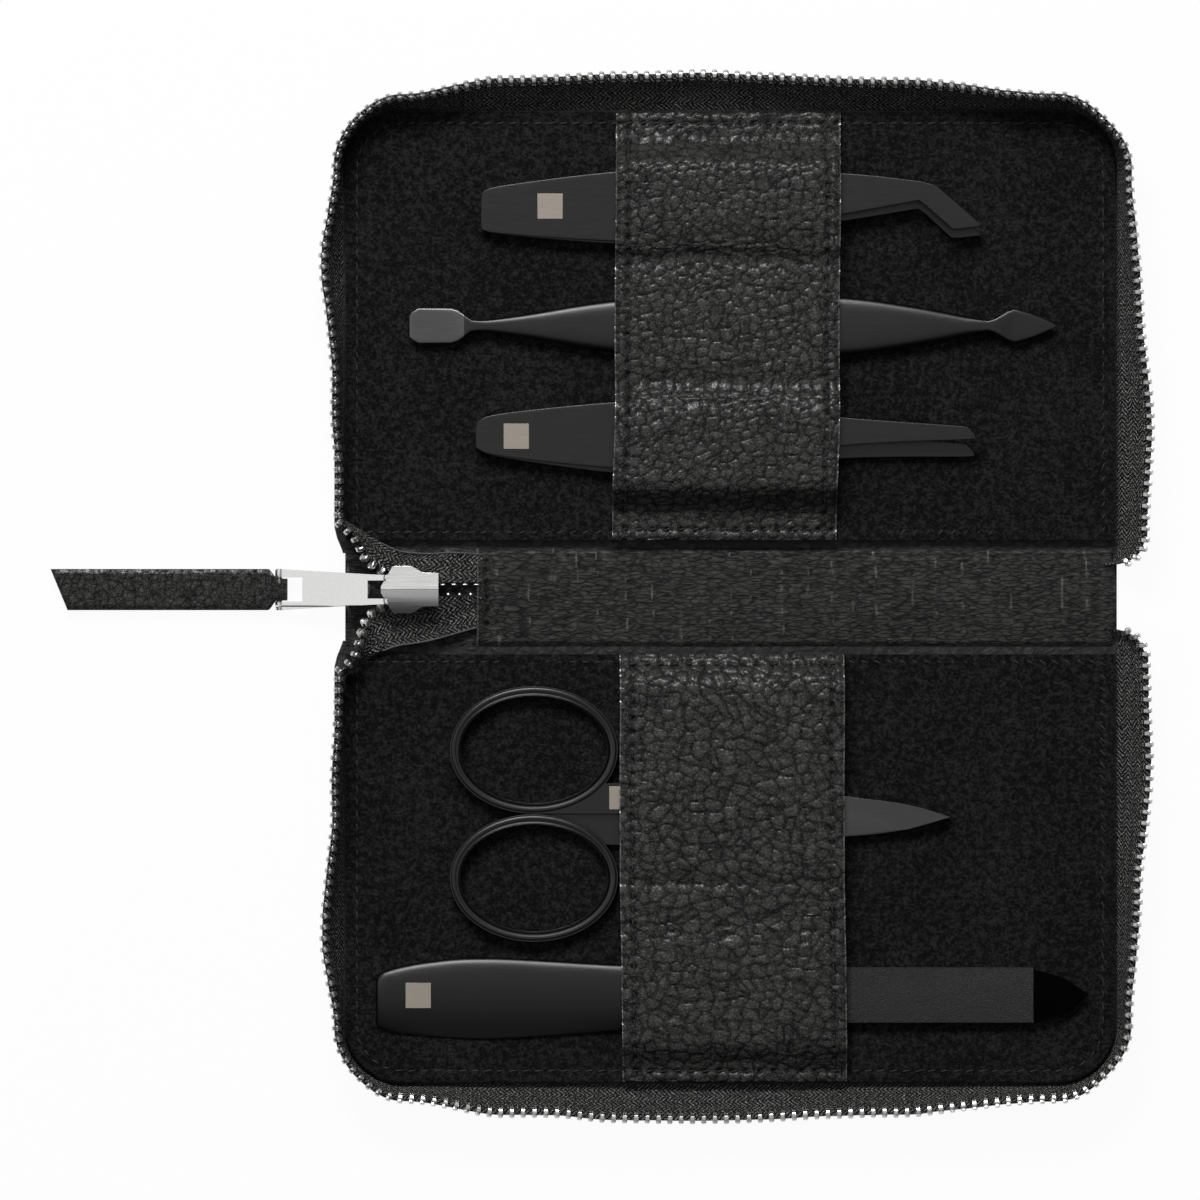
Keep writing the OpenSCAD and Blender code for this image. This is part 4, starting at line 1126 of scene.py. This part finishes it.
def sway_at(s, side):
    """How far the edge of the tape, and with it every tooth, strays in or out."""
    return SWAY * waves(s, 0 * s, SWAY_SIZE, SWAY_SEED + side)


# %% Weave the tapes round the covers
CORD_U, CORD_R = 7.85 * MM, 0.62 * MM
CLOTH_UP = np.array([0, 1.2, 2.4, 3.6, 4.8, 6.0, 7.0]) * MM


def tape_profile():
    """Section of the tape: up its inner face, round the cord at its edge, down its outer face."""
    turn = np.linspace(math.radians(235), math.radians(-55), 9)
    cord = [(CORD_U + CORD_R * math.sin(a), TAPE_T / 2 + CORD_R * math.cos(a)) for a in turn]
    return np.array([(u, 0) for u in CLOTH_UP] + cord + [(u, TAPE_T) for u in CLOTH_UP[::-1]])


def make_tapes():
    profile = tape_profile()
    s = np.linspace(0, EDGE_LEN, 320)[:, None]
    u, t = profile[:, 0][None, :], profile[:, 1][None, :]
    reach = ease(u / TAPE_REACH)
    cloth = spots(s, way_along(profile)[None, :])
    belly = 0.35 * MM * np.sin(np.clip(u / CORD_U, 0, 1) * math.pi)
    for cover, side in COVERS.items():
        sway = reach * (sway_at(s + 0 * u, side) + 0.1 * MM * waves(s, u, 3 * MM, 51))
        made = loft(cover + "_tape", tape_at(s, u, t + sway + belly, side), cloth)
        outward(made, 0)
        put(smooth(made, 50), cover + "_cover", "zip_tape", tape_cloth, cover + "_zip_tape")
    print("tape round a cover:", round(EDGE_LEN / MM, 1), "mm")


make_tapes()

# %% [markdown]
# ## Zip teeth
# A metal tooth is a small fork: two legs clamp the cord of the tape and a dimpled head reaches
# past it. From above the legs and the head flash and the gap between them stays dark, so a
# plain block would look wrong. One fork of few faces is copied along every row by the tree.

# %% Make a tooth and the rows round the covers
TOOTH_PITCH, TOOTH_W, TOOTH_LEN, TOOTH_T = 2.05 * MM, 0.95 * MM, 1.6 * MM, 1.9 * MM
DIMPLE_RIM, DIMPLE_DEPTH = 0.17 * MM, 0.3 * MM


def make_tooth():
    """A fork standing along Z with its legs apart along Y."""
    outline = [(-0.75, -1), (-1, 0.2), (-0.75, 0.75), (-0.3, 1), (0, 0.7), (0.3, 1), (0.75, 0.75),
               (1, 0.2), (0.75, -1), (0.45, -1), (0.5, -0.1), (-0.5, -0.1), (-0.45, -1)]
    shape = np.array(outline) * (TOOTH_T / 2, TOOTH_LEN / 2)
    rings = []
    for x, shrink in ((-1, 0.8), (-0.65, 1), (0.65, 1), (1, 0.8)):
        rings.append([(x * TOOTH_W / 2, y * shrink, z * shrink) for y, z in shape])
    made = outward(loft("tooth", rings))
    with editing(made) as work:
        flanks = [face for face in work.faces
                  if abs(face.normal.y) > 0.9 and abs(face.calc_center_median().x) < 0.1 * MM]
        bmesh.ops.inset_individual(work, faces=flanks, thickness=DIMPLE_RIM, depth=-DIMPLE_DEPTH)
    return unlinked(smooth(made, 38))


def make_head(name, length, width):
    """The rounded head of a closed tooth, which is all that shows between the cords."""
    rings = []
    for t in (-1, -0.85, -0.45, 0.45, 0.85, 1):
        thick = width / 2 * math.sqrt(1.06 - t ** 4)
        rings.append([(t * length / 2, thick * math.cos(a), thick * math.sin(a)) for a in circle(8)])
    return unlinked(smooth(outward(loft(name, rings)), 60))


tooth = make_tooth()
heads = {1: make_head("long_head", 1.2 * MM, 0.4 * MM),
         -1: make_head("round_head", 0.8 * MM, 0.78 * MM)}


def teeth_along(name, path, up):
    up = up / np.linalg.norm(up, axis=1)[:, None]
    return copies_along(name, path, up, TOOTH_PITCH, tooth, zip_silver, 0.05, 7)


def make_teeth():
    s = np.linspace(TOOTH_W / 2, EDGE_LEN - TOOTH_W / 2, 300)
    for cover, side in COVERS.items():
        path = tape_at(s, TAPE_REACH, TAPE_T / 2 + sway_at(s, side), side)
        made = teeth_along(cover + "_teeth", path, path - tape_at(s, 0, TAPE_T / 2, side))
        put(made, cover + "_cover", "zip_metal", zip_silver, cover + "_zip_teeth")
    print("faces of a row:", len(made.data.polygons))


make_teeth()

# %% [markdown]
# ## From the covers to the slider
# Both tapes leave their covers standing, turn over the fold and lie flat under the slider. A
# cloth simulation would need pins along every edge of them. The sewn edge and the row of
# teeth are instead two smooth lines through a few chosen points, and the cloth is stretched
# between them with a little sag.

# %% Draw the lead-in lines
slider_low, slider_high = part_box("slider_body")
SLIDER_X = slider_low.x
ZIP_Y = (slider_low.y + slider_high.y) / 2
ZIP_Z = (slider_low.z + slider_high.z) / 2
TOOTH_IN = 0.6 * MM
MOUTH = 6.2  # mm from the slider's open end to where its two rows have met
MOUTH_X = SLIDER_X + MOUTH * MM
print("slider from", round(SLIDER_X / MM, 2), "mm, its rows met at", round(MOUTH_X / MM, 2), "mm")


def tape_bend(cover, side):
    """Places across the fold for a lead-in, over a longer way than those of the leather under it."""
    return across_fold(cover, side, FOLD_Y - 1 * MM, FOLD_Y + 3 * MM)


def smooth_line(points, count):
    """Points of an even curve through a few given ones."""
    p = np.array(points, float)
    p = np.concatenate([[2 * p[0] - p[1]], p, [2 * p[-1] - p[-2]]])
    t = np.linspace(0, 1, count, endpoint=False)[:, None]
    parts = []
    for a, b, c, d in zip(p, p[1:], p[2:], p[3:]):
        parts.append(0.5 * (2 * b + (c - a) * t + (2 * a - 5 * b + 4 * c - d) * t ** 2
                            + (3 * b - a - 3 * c + d) * t ** 3))
    return np.concatenate(parts + [p[-2:-1]])


def tooth_lead(side):
    """Line of the teeth from a cover down to the slider and on to the sewn tail."""
    start = tape_at(-TOOTH_W, TAPE_REACH, TAPE_T / 2, side)
    steps = [(-4.6, side * (FOLD_Y / MM + 1.4), 4.4), (-2.6, ZIP_Y / MM + side * 5.4, 2.0),
             (0.6, ZIP_Y / MM + side * 3.0, 0), (3.4, ZIP_Y / MM + side * 1.8, 0),
             (MOUTH, ZIP_Y / MM + side * TOOTH_IN / MM, 0), (12, ZIP_Y / MM + side * TOOTH_IN / MM, 0)]
    line = [(SLIDER_X + x * MM, y * MM, ZIP_Z + z * MM) for x, y, z in steps]
    return smooth_line([start] + line + [(TAIL_X, ZIP_Y + side * TOOTH_IN, ZIP_Z - 0.9 * MM)], 9)


def sewn_lead(side):
    """The sewn edge of the same tape, over the lining's corner and along the spine."""
    start = tape_at(0, 0, TAPE_T / 2, side) + (0, 0, FLOOR_Z - LEATHER_T + 0.4 * MM)
    ins = (0.9, 1.4, 1.5, 1.3, 1.6) if side > 0 else (0.5, 1.0, 1.6, 2.6, 4.1)
    steps = [(-4.2, 3.0, FLOOR_Z / MM + 0.8), (-0.6, 0.8, FLOOR_Z / MM + 0.8), (3.0, -ins[0], 3.7),
             (6.2, -ins[1], 3.6), (9.4, -ins[2], 3.4), (13, -ins[3], 3.1)]
    line = [(SLIDER_X + x * MM, side * (FOLD_Y + y * MM), z * MM) for x, y, z in steps]
    return smooth_line([start] + line + [(TAIL_X, side * (FOLD_Y - ins[4] * MM), 2.3 * MM)], 9)


# %% Stretch the cloth and set the teeth
CLOTH_STEPS = 12
EDGE_GAP = 0.7 * MM
CREASE_SIZE, CREASE_DEPTH = 3.4 * MM, 0.4 * MM
HEM_R = 0.17 * MM


def stretch_cloth(name, cover, side, sewn, teeth_line, turn, sag_depth, *nodes):
    """Cloth between a sewn line and a row of teeth; turn goes from 0, standing, to 1, lying."""
    thick = np.stack([-(1 - turn), 0 * turn, turn], axis=1)
    thick = thick / np.linalg.norm(thick, axis=1)[:, None] * TAPE_T / 2
    back = sewn - teeth_line
    width = np.linalg.norm(back, axis=1)[:, None]
    edge = teeth_line + back / width * EDGE_GAP
    v = np.linspace(0, 1, CLOTH_STEPS)[None, :, None]
    way = way_along(sewn)
    sheet = sewn[:, None] * (1 - v) + edge[:, None] * v
    creases = waves(way[:, None], v[..., 0] * 6 * MM, CREASE_SIZE, 61 + side)[..., None]
    sag = (CREASE_DEPTH * creases - sag_depth) * np.sin(v * math.pi)
    middle = sheet + sag * thick[:, None] / (TAPE_T / 2)
    rings = beside(middle + thick[:, None], (middle - thick[:, None])[:, ::-1])
    measure = spots(way[:, None], width * v[..., 0])
    made = outward(loft(name, rings, beside(measure, measure[:, ::-1])), 0)
    put(smooth(made, 50), tape_bend(cover, side), "zip_tape", tape_cloth, *nodes)


def make_bridges():
    for cover, side in COVERS.items():
        sewn = sewn_lead(side)
        turn = ease(2 * np.arange(len(sewn)) / (len(sewn) - 1))
        stretch_cloth(cover + "_tape_to_slider", cover, side, sewn, tooth_lead(side), turn, 0.5 * MM,
                      cover + "_tape_bridge")
        edge = sewn[sewn[:, 0] > SLIDER_X] + (0, 0, 0.3 * MM)
        hem = spots(0, np.cos(circle(6)), np.sin(circle(6))) * HEM_R
        made = outward(loft(cover + "_selvedge", edge[:, None] + hem), 0)
        put(smooth(made, 80), tape_bend(cover, side), "zip_tape", selvedge)


# steps in mm from the tape's end: its toothed edge falls and its sewn edge is tucked in
END_FALLS = [(0, 0, 0), (-0.7, -1.7, -0.8), (-2.1, -3.1, -2.2), (-4.2, -4.0, -4.0),
             (-6.4, -4.4, -5.8)]
END_TUCKS = [(0, 0, 0), (-0.1, -1.5, 0), (-0.6, -2.7, 0.1), (-1.6, -3.4, 0.2), (-3.0, -3.8, 0.3)]


def make_tape_ends():
    """The free ends of both tapes, tucked in under the spine beside the fold."""
    for cover, side in COVERS.items():
        teeth_line, sewn = (
            smooth_line([tape_at(EDGE_LEN, reach, TAPE_T / 2, side) + np.array((x, side * y, z)) * MM
                         for x, y, z in steps], 6)
            for reach, steps in ((TAPE_REACH, END_FALLS), (0, END_TUCKS)))
        stretch_cloth(cover + "_tape_end", cover, side, sewn, teeth_line, np.zeros(len(sewn)), 0)
        row = teeth_along(cover + "_end_teeth", teeth_line[4:16], (teeth_line - sewn)[4:16])
        put(row, tape_bend(cover, side), "zip_metal", zip_silver)


def make_lead_teeth():
    closed = []
    for cover, side in COVERS.items():
        teeth_line, sewn = tooth_lead(side), sewn_lead(side)
        up = teeth_line - sewn
        split = np.searchsorted(teeth_line[:, 0], MOUTH_X)
        shift = 0.0 if side > 0 else TOOTH_PITCH / 2
        row = teeth_along(cover + "_lead_teeth", teeth_line[:split], up[:split])
        stands_for = ["bridge_teeth"] if side > 0 else []
        put(row, tape_bend(cover, side), "zip_metal", zip_silver, *stands_for)
        xs = np.arange(TAIL_X - TOOTH_W - shift, MOUTH_X, -TOOTH_PITCH)[::-1]
        flat = np.stack([np.interp(xs, teeth_line[:, 0], teeth_line[:, k]) for k in range(3)], axis=1)
        flat += (0, side * 0.3 * MM, 0.35 * MM)
        closed.append(copies_along(cover + "_closed_teeth", flat, UPWARD, TOOTH_PITCH,
                                   heads[side], zip_silver))
    made = join("closed_teeth", closed)
    put(made, "spine", "zip_metal", zip_silver, "zip_start_teeth")
    print("closed teeth end at", round(TAIL_X / MM, 2), "mm")


make_bridges()
make_tape_ends()
make_lead_teeth()

# %% [markdown]
# ## Slider and pull
# The slider and the pull are die-cast and tumbled, so all their edges are softly rounded. Their
# solids already have the arrow plan, the roof and the pins, and rounding a copy keeps them.
# The leather strip is lofted, since it is folded round the pull's pin and its grain stands up.

# %% Round the slider and the metal pull
ROOF_STEP, ROOF_FALL, PULL_STEP = 0.12 * MM, 0.7 * MM, 0.55 * MM


def lower_top(work, y_from, y_to, drop, cuts):
    """Cuts the top of a casting lengthwise and lets it fall away in a curve towards y_to."""
    for share in cuts:
        cut(work, (0, y_from + (y_to - y_from) * share, 0), (0, 1, 0))

    def plan(vert):
        return round(vert.co.x / MM, 2), round(vert.co.y / MM, 2)

    tops = {}
    for vert in work.verts:
        tops[plan(vert)] = max(tops.get(plan(vert), 0), vert.co.z)
    for vert in work.verts:
        share = (vert.co.y - y_from) / (y_to - y_from)
        if share > 0 and vert.co.z > tops[plan(vert)] - 0.01 * MM:
            vert.co.z -= drop(min(share, 1))


def make_slider():
    def roof(work):
        low_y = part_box("slider_bridge")[0].y
        lower_top(work, ZIP_Y + 0.15 * MM, ZIP_Y - 0.15 * MM,
                  lambda t: ROOF_STEP * (t > 0.4), (0.3, 0.6))
        lower_top(work, ZIP_Y - 0.2 * MM, low_y,
                  lambda t: ROOF_FALL * t ** 2.2, (0.25, 0.5, 0.7, 0.85, 0.95))

    def lower_edge(work):
        low_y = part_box("metal_pull")[0].y
        lower_top(work, ZIP_Y, low_y, lambda t: PULL_STEP * (t > 0.8), (0.76, 0.84))

    zip_part, pull_part = ("slider", "zip_metal", slider_silver), ("pull", "pull_metal", pull_silver)
    for node, name, width, shape, part in (
            ("slider_body", "slider_plates", 0.14 * MM, None, zip_part),
            ("slider_bridge", "slider_roof", 0.1 * MM, roof, zip_part),
            ("metal_pull", "pull_cast", 0.16 * MM, lower_edge, pull_part)):
        made = softened(node, name, width, 2, shape)
        put(made, *part, node)
    print("slider faces:", len(made.data.polygons))


make_slider()

# %% Fold the leather strip
STRIP_STEP = 0.25 * MM
STRIP_T, STRIP_W, LOOP_W, LOOP_R = 2.2 * MM, 7.5 * MM, 4.0 * MM, 1.75 * MM
COLLAR_LEN = 2.4 * MM
COLLAR_RISE, STRIP_CROWN, STRIP_GRAIN = 0.45 * MM, 0.32 * MM, 0.13 * MM
STRIP_SLANT = 3.1 * MM
NECK_LEN = 2.2 * MM
STRIP_FOOT = 0.05 * MM


def make_strip():
    low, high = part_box("leather_pull")
    pin_x, pin_z = high.x - LOOP_R, high.z - LOOP_R
    neck_x = pin_x - NECK_LEN
    v = np.linspace(-1, 1, int(STRIP_W / STRIP_STEP))[None, :]
    xs = np.concatenate([np.arange(0, 1, 1 / 150), np.linspace(1, 2, 22)])[:, None]
    shoulder = ease((xs - 1.02) / 0.5)
    half = STRIP_W / 2 * (1 - shoulder) + LOOP_W / 2 * shoulder
    first = low.x + STRIP_SLANT * (1 - v) / 2
    x = np.where(xs < 1, first + (neck_x - first) * np.clip(xs, 0, 1),
                 neck_x + (high.x - 0.3 * MM - neck_x) * (xs - 1))
    y = ZIP_Y + half * v
    over = pin_z + np.sqrt(np.clip(LOOP_R ** 2 - (x - pin_x) ** 2, 0, None))
    rise = ease((x - neck_x) / (pin_x - neck_x))
    height = leather_height(x, y, 1.5 * MM, 71)
    collar = ease((x - neck_x + COLLAR_LEN) / (0.4 * MM)) * (1 - rise)
    edge = np.minimum((1 - abs(v)) * half, np.maximum(x - first, 0))
    crown = STRIP_CROWN * (1 - ease(edge / (0.9 * MM)))
    top = STRIP_T * (1 - rise) + over * rise
    top = top + STRIP_GRAIN * (height - 0.5) + COLLAR_RISE * collar - crown
    under = np.where(x > pin_x - LOOP_R, np.maximum(2 * pin_z - over, STRIP_FOOT), STRIP_FOOT)
    keep = slice(None, None, -3)
    low_ring = spots(x, y, np.minimum(under, top - 0.2 * MM))[:, keep]
    grain_value = beside(np.broadcast_to(height, x.shape), np.zeros(low_ring.shape[:2]))
    made = loft("leather_strip", beside(spots(x, y, top), low_ring), grain_height=grain_value)
    outward(made, 0)
    put(smooth(made, 55), "pull_strip", "black_leather", strip_leather, "leather_pull")
    print("strip:", round((high.x - low.x) / MM, 1), "mm long")


make_strip()

# %% [markdown]
# ## Steel tools
# Handles and tweezer arms are ground by hand: their faces are slightly crowned and their edges
# rounded, which is what makes the satin black shine unevenly. An extruded outline looks
# stamped. So each solid is sliced along its length, and every slice becomes a rounded section
# of the same width and height, fuller where the tool is flat and rounder where it is a grip.

# %% Slice a solid and loft rounded sections
def slices(node, xs):
    """Lowest and highest Y and Z of a solid at each X."""
    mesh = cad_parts[node].data
    points = np.array([v.co for v in mesh.vertices])
    edges = np.array([e.vertices for e in mesh.edges])
    first, last = points[edges[:, 0]], points[edges[:, 1]]
    found = []
    for x in xs:
        crosses = (first[:, 0] - x) * (last[:, 0] - x) < 0
        a, b = first[crosses], last[crosses]
        hits = a + (b - a) * ((x - a[:, 0]) / (b[:, 0] - a[:, 0]))[:, None]
        found.append((*hits[:, 1:].min(0), *hits[:, 1:].max(0)))
    return np.array(found).T


GRIND_STEP, GRIND_POINTS = 1.2 * MM, 48
TIP_ROUND, TIP_IN = 0.45 * MM, 0.4 * MM


def ground_bar(node, name, square, square_under=12.0):
    """Rounded sections along a tool; square says how flat its top is, at one or more places."""
    low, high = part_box(node)
    inner = np.linspace(low.x + 0.5 * MM, high.x - 0.5 * MM, int((high.x - low.x) / GRIND_STEP))
    ends = np.array([0.02, 0.12, 0.28]) * MM
    xs = np.concatenate([low.x + ends, inner, high.x - ends[::-1]])
    y0, z0, y1, z1 = slices(node, xs)
    tip = np.minimum(xs - low.x, high.x - xs) / TIP_ROUND
    shrink = np.sqrt(np.clip(1 - (1 - np.clip(tip, 0, 1)) ** 2, 0.04, 1))
    places, powers = np.array(square, float).T
    power = np.interp((xs - low.x) / (high.x - low.x), places, powers)
    turn = circle(GRIND_POINTS)
    rings = []
    for x, a, b, c, d, p, k in zip(xs, y0, y1, z0, z1, power, shrink):
        side = np.where(np.sin(turn) > 0, 2 / p, 2 / square_under)
        across = np.sign(np.cos(turn)) * abs(np.cos(turn)) ** side
        up = np.sign(np.sin(turn)) * abs(np.sin(turn)) ** side
        inset = (1 - k) * TIP_IN
        half_y, half_z = (b - a) / 2 - inset, (d - c) / 2 * (0.45 + 0.55 * k)
        rings.append(spots(x, (a + b) / 2 + half_y * across, (c + d) / 2 + half_z * up))
    return smooth(outward(loft(name, rings)), 60)


# %% Tweezers, pusher and file
FLAT = [(0, 22), (1, 22)]


def make_tweezers():
    for kind in ("bent", "slant"):
        for arm, body in (("lower", "_tweezers"), ("upper", "_tweezers_arm")):
            node = f"{kind}_tweezers_{arm}_arm"
            made = ground_bar(node, node + "_ground", FLAT)
            put(made, kind + body, "black_steel", black_steel, node)
    print("tweezer arm faces:", len(made.data.polygons))


PADDLE_LEN = 10.0 * MM


def make_pusher():
    grip = [(0, 9), (0.07, 8), (0.12, 3.2), (0.3, 3.4), (0.78, 3.4), (0.86, 2.6), (0.93, 6), (1, 4)]
    made = ground_bar("cuticle_pusher", "pusher_ground", grip, 2.6)
    put(made, "pusher", "black_steel", ground_steel, "cuticle_pusher")
    from_here(made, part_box("cuticle_pusher")[0].x + PADDLE_LEN, black_steel)


TIP_LEN = 10.1 * MM
GRIP_FALL = 0.9


def make_file():
    made = ground_bar("file_handle", "file_grip", [(0, 2.5), (1, 2.5)])
    low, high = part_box("file_handle")
    for vert in made.data.vertices:
        share = (high.y - vert.co.y) / (high.y - low.y)
        vert.co.z -= GRIP_FALL * (vert.co.z - low.z) * share ** 2
    put(made, "file", "black_steel", black_steel, "file_handle")
    blade = softened("file_blade", "file_plate", 0.15 * MM)
    put(blade, "file", "black_steel", grit, "file_blade")
    from_here(blade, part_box("file_blade")[1].x - TIP_LEN, gloss_steel)


make_tweezers()
make_pusher()
make_file()

# %% Scissors and badges
RING_A, RING_B, RING_WALL = 15.3 * MM, 11.6 * MM, 1.9 * MM
RAIL_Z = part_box("scissors_upper_half")[1].z
# across the wall as a share of it, from outside in, and height over the scissors in mm
RAIL = [(0.02, -0.9), (0, -0.5), (0.05, -0.15), (0.18, 0.1), (0.36, 0.2), (0.54, 0.1), (0.66, 0.02),
        (0.76, 0.02), (0.8, 0.12), (0.88, 0.2), (0.96, 0.1), (1, -0.2), (0.98, -0.9)]


def make_rail(node, side):
    """The rounded rail of a finger ring, with the thin lip along its inner edge."""
    low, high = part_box(node)
    middle_y = high.y - RING_B if side > 0 else low.y + RING_B
    across, up = np.array(RAIL).T
    turn = circle(96)[:, None]
    x = low.x + RING_A + (RING_A - across * RING_WALL) * np.cos(turn)
    y = middle_y + (RING_B - across * RING_WALL) * np.sin(turn)
    z = RAIL_Z + up * MM + 0 * turn
    return outward(loft(node + "_rail", spots(x, y, z), endless=True), 0)


def make_scissors():
    for half, body, side in (("lower", "scissors", -1), ("upper", "scissors_arm", 1)):
        node = f"scissors_{half}_half"
        made = softened(node, node + "_ground", 0.4 * MM, 3)
        put(made, body, "black_steel", black_steel, node)
        from_here(made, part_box("scissors_pivot")[1].x, blade_steel)
        put(smooth(make_rail(node, side), 60), body, "black_steel", black_steel)
    made = softened("scissors_pivot", "scissors_screw", 0.18 * MM, 3)
    put(made, "scissors", "black_steel", black_steel, "scissors_pivot")


def make_badges():
    bodies = {"bent_tweezers_badge": "bent_tweezers_arm", "slant_tweezers_badge": "slant_tweezers_arm",
              "scissors_badge": "scissors_arm", "file_badge": "file"}
    for node, body in bodies.items():
        made = softened(node, node + "_inlay", 0.04 * MM)
        put(made, body, "badge", inlay, node)
    print("badges:", len(bodies))


make_scissors()
make_badges()

# %% [markdown]
# ## Size of the dressed case
# The dressed case has to keep the size of its solids, so how far it has grown past them, at
# its low and high corner, is printed.


visual_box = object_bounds()
grown = [[round((b - a) / MM, 2) for a, b in zip(*pair)] for pair in zip(cad_box, visual_box)]
print("grown past the solids, mm, low and high corner:", grown)
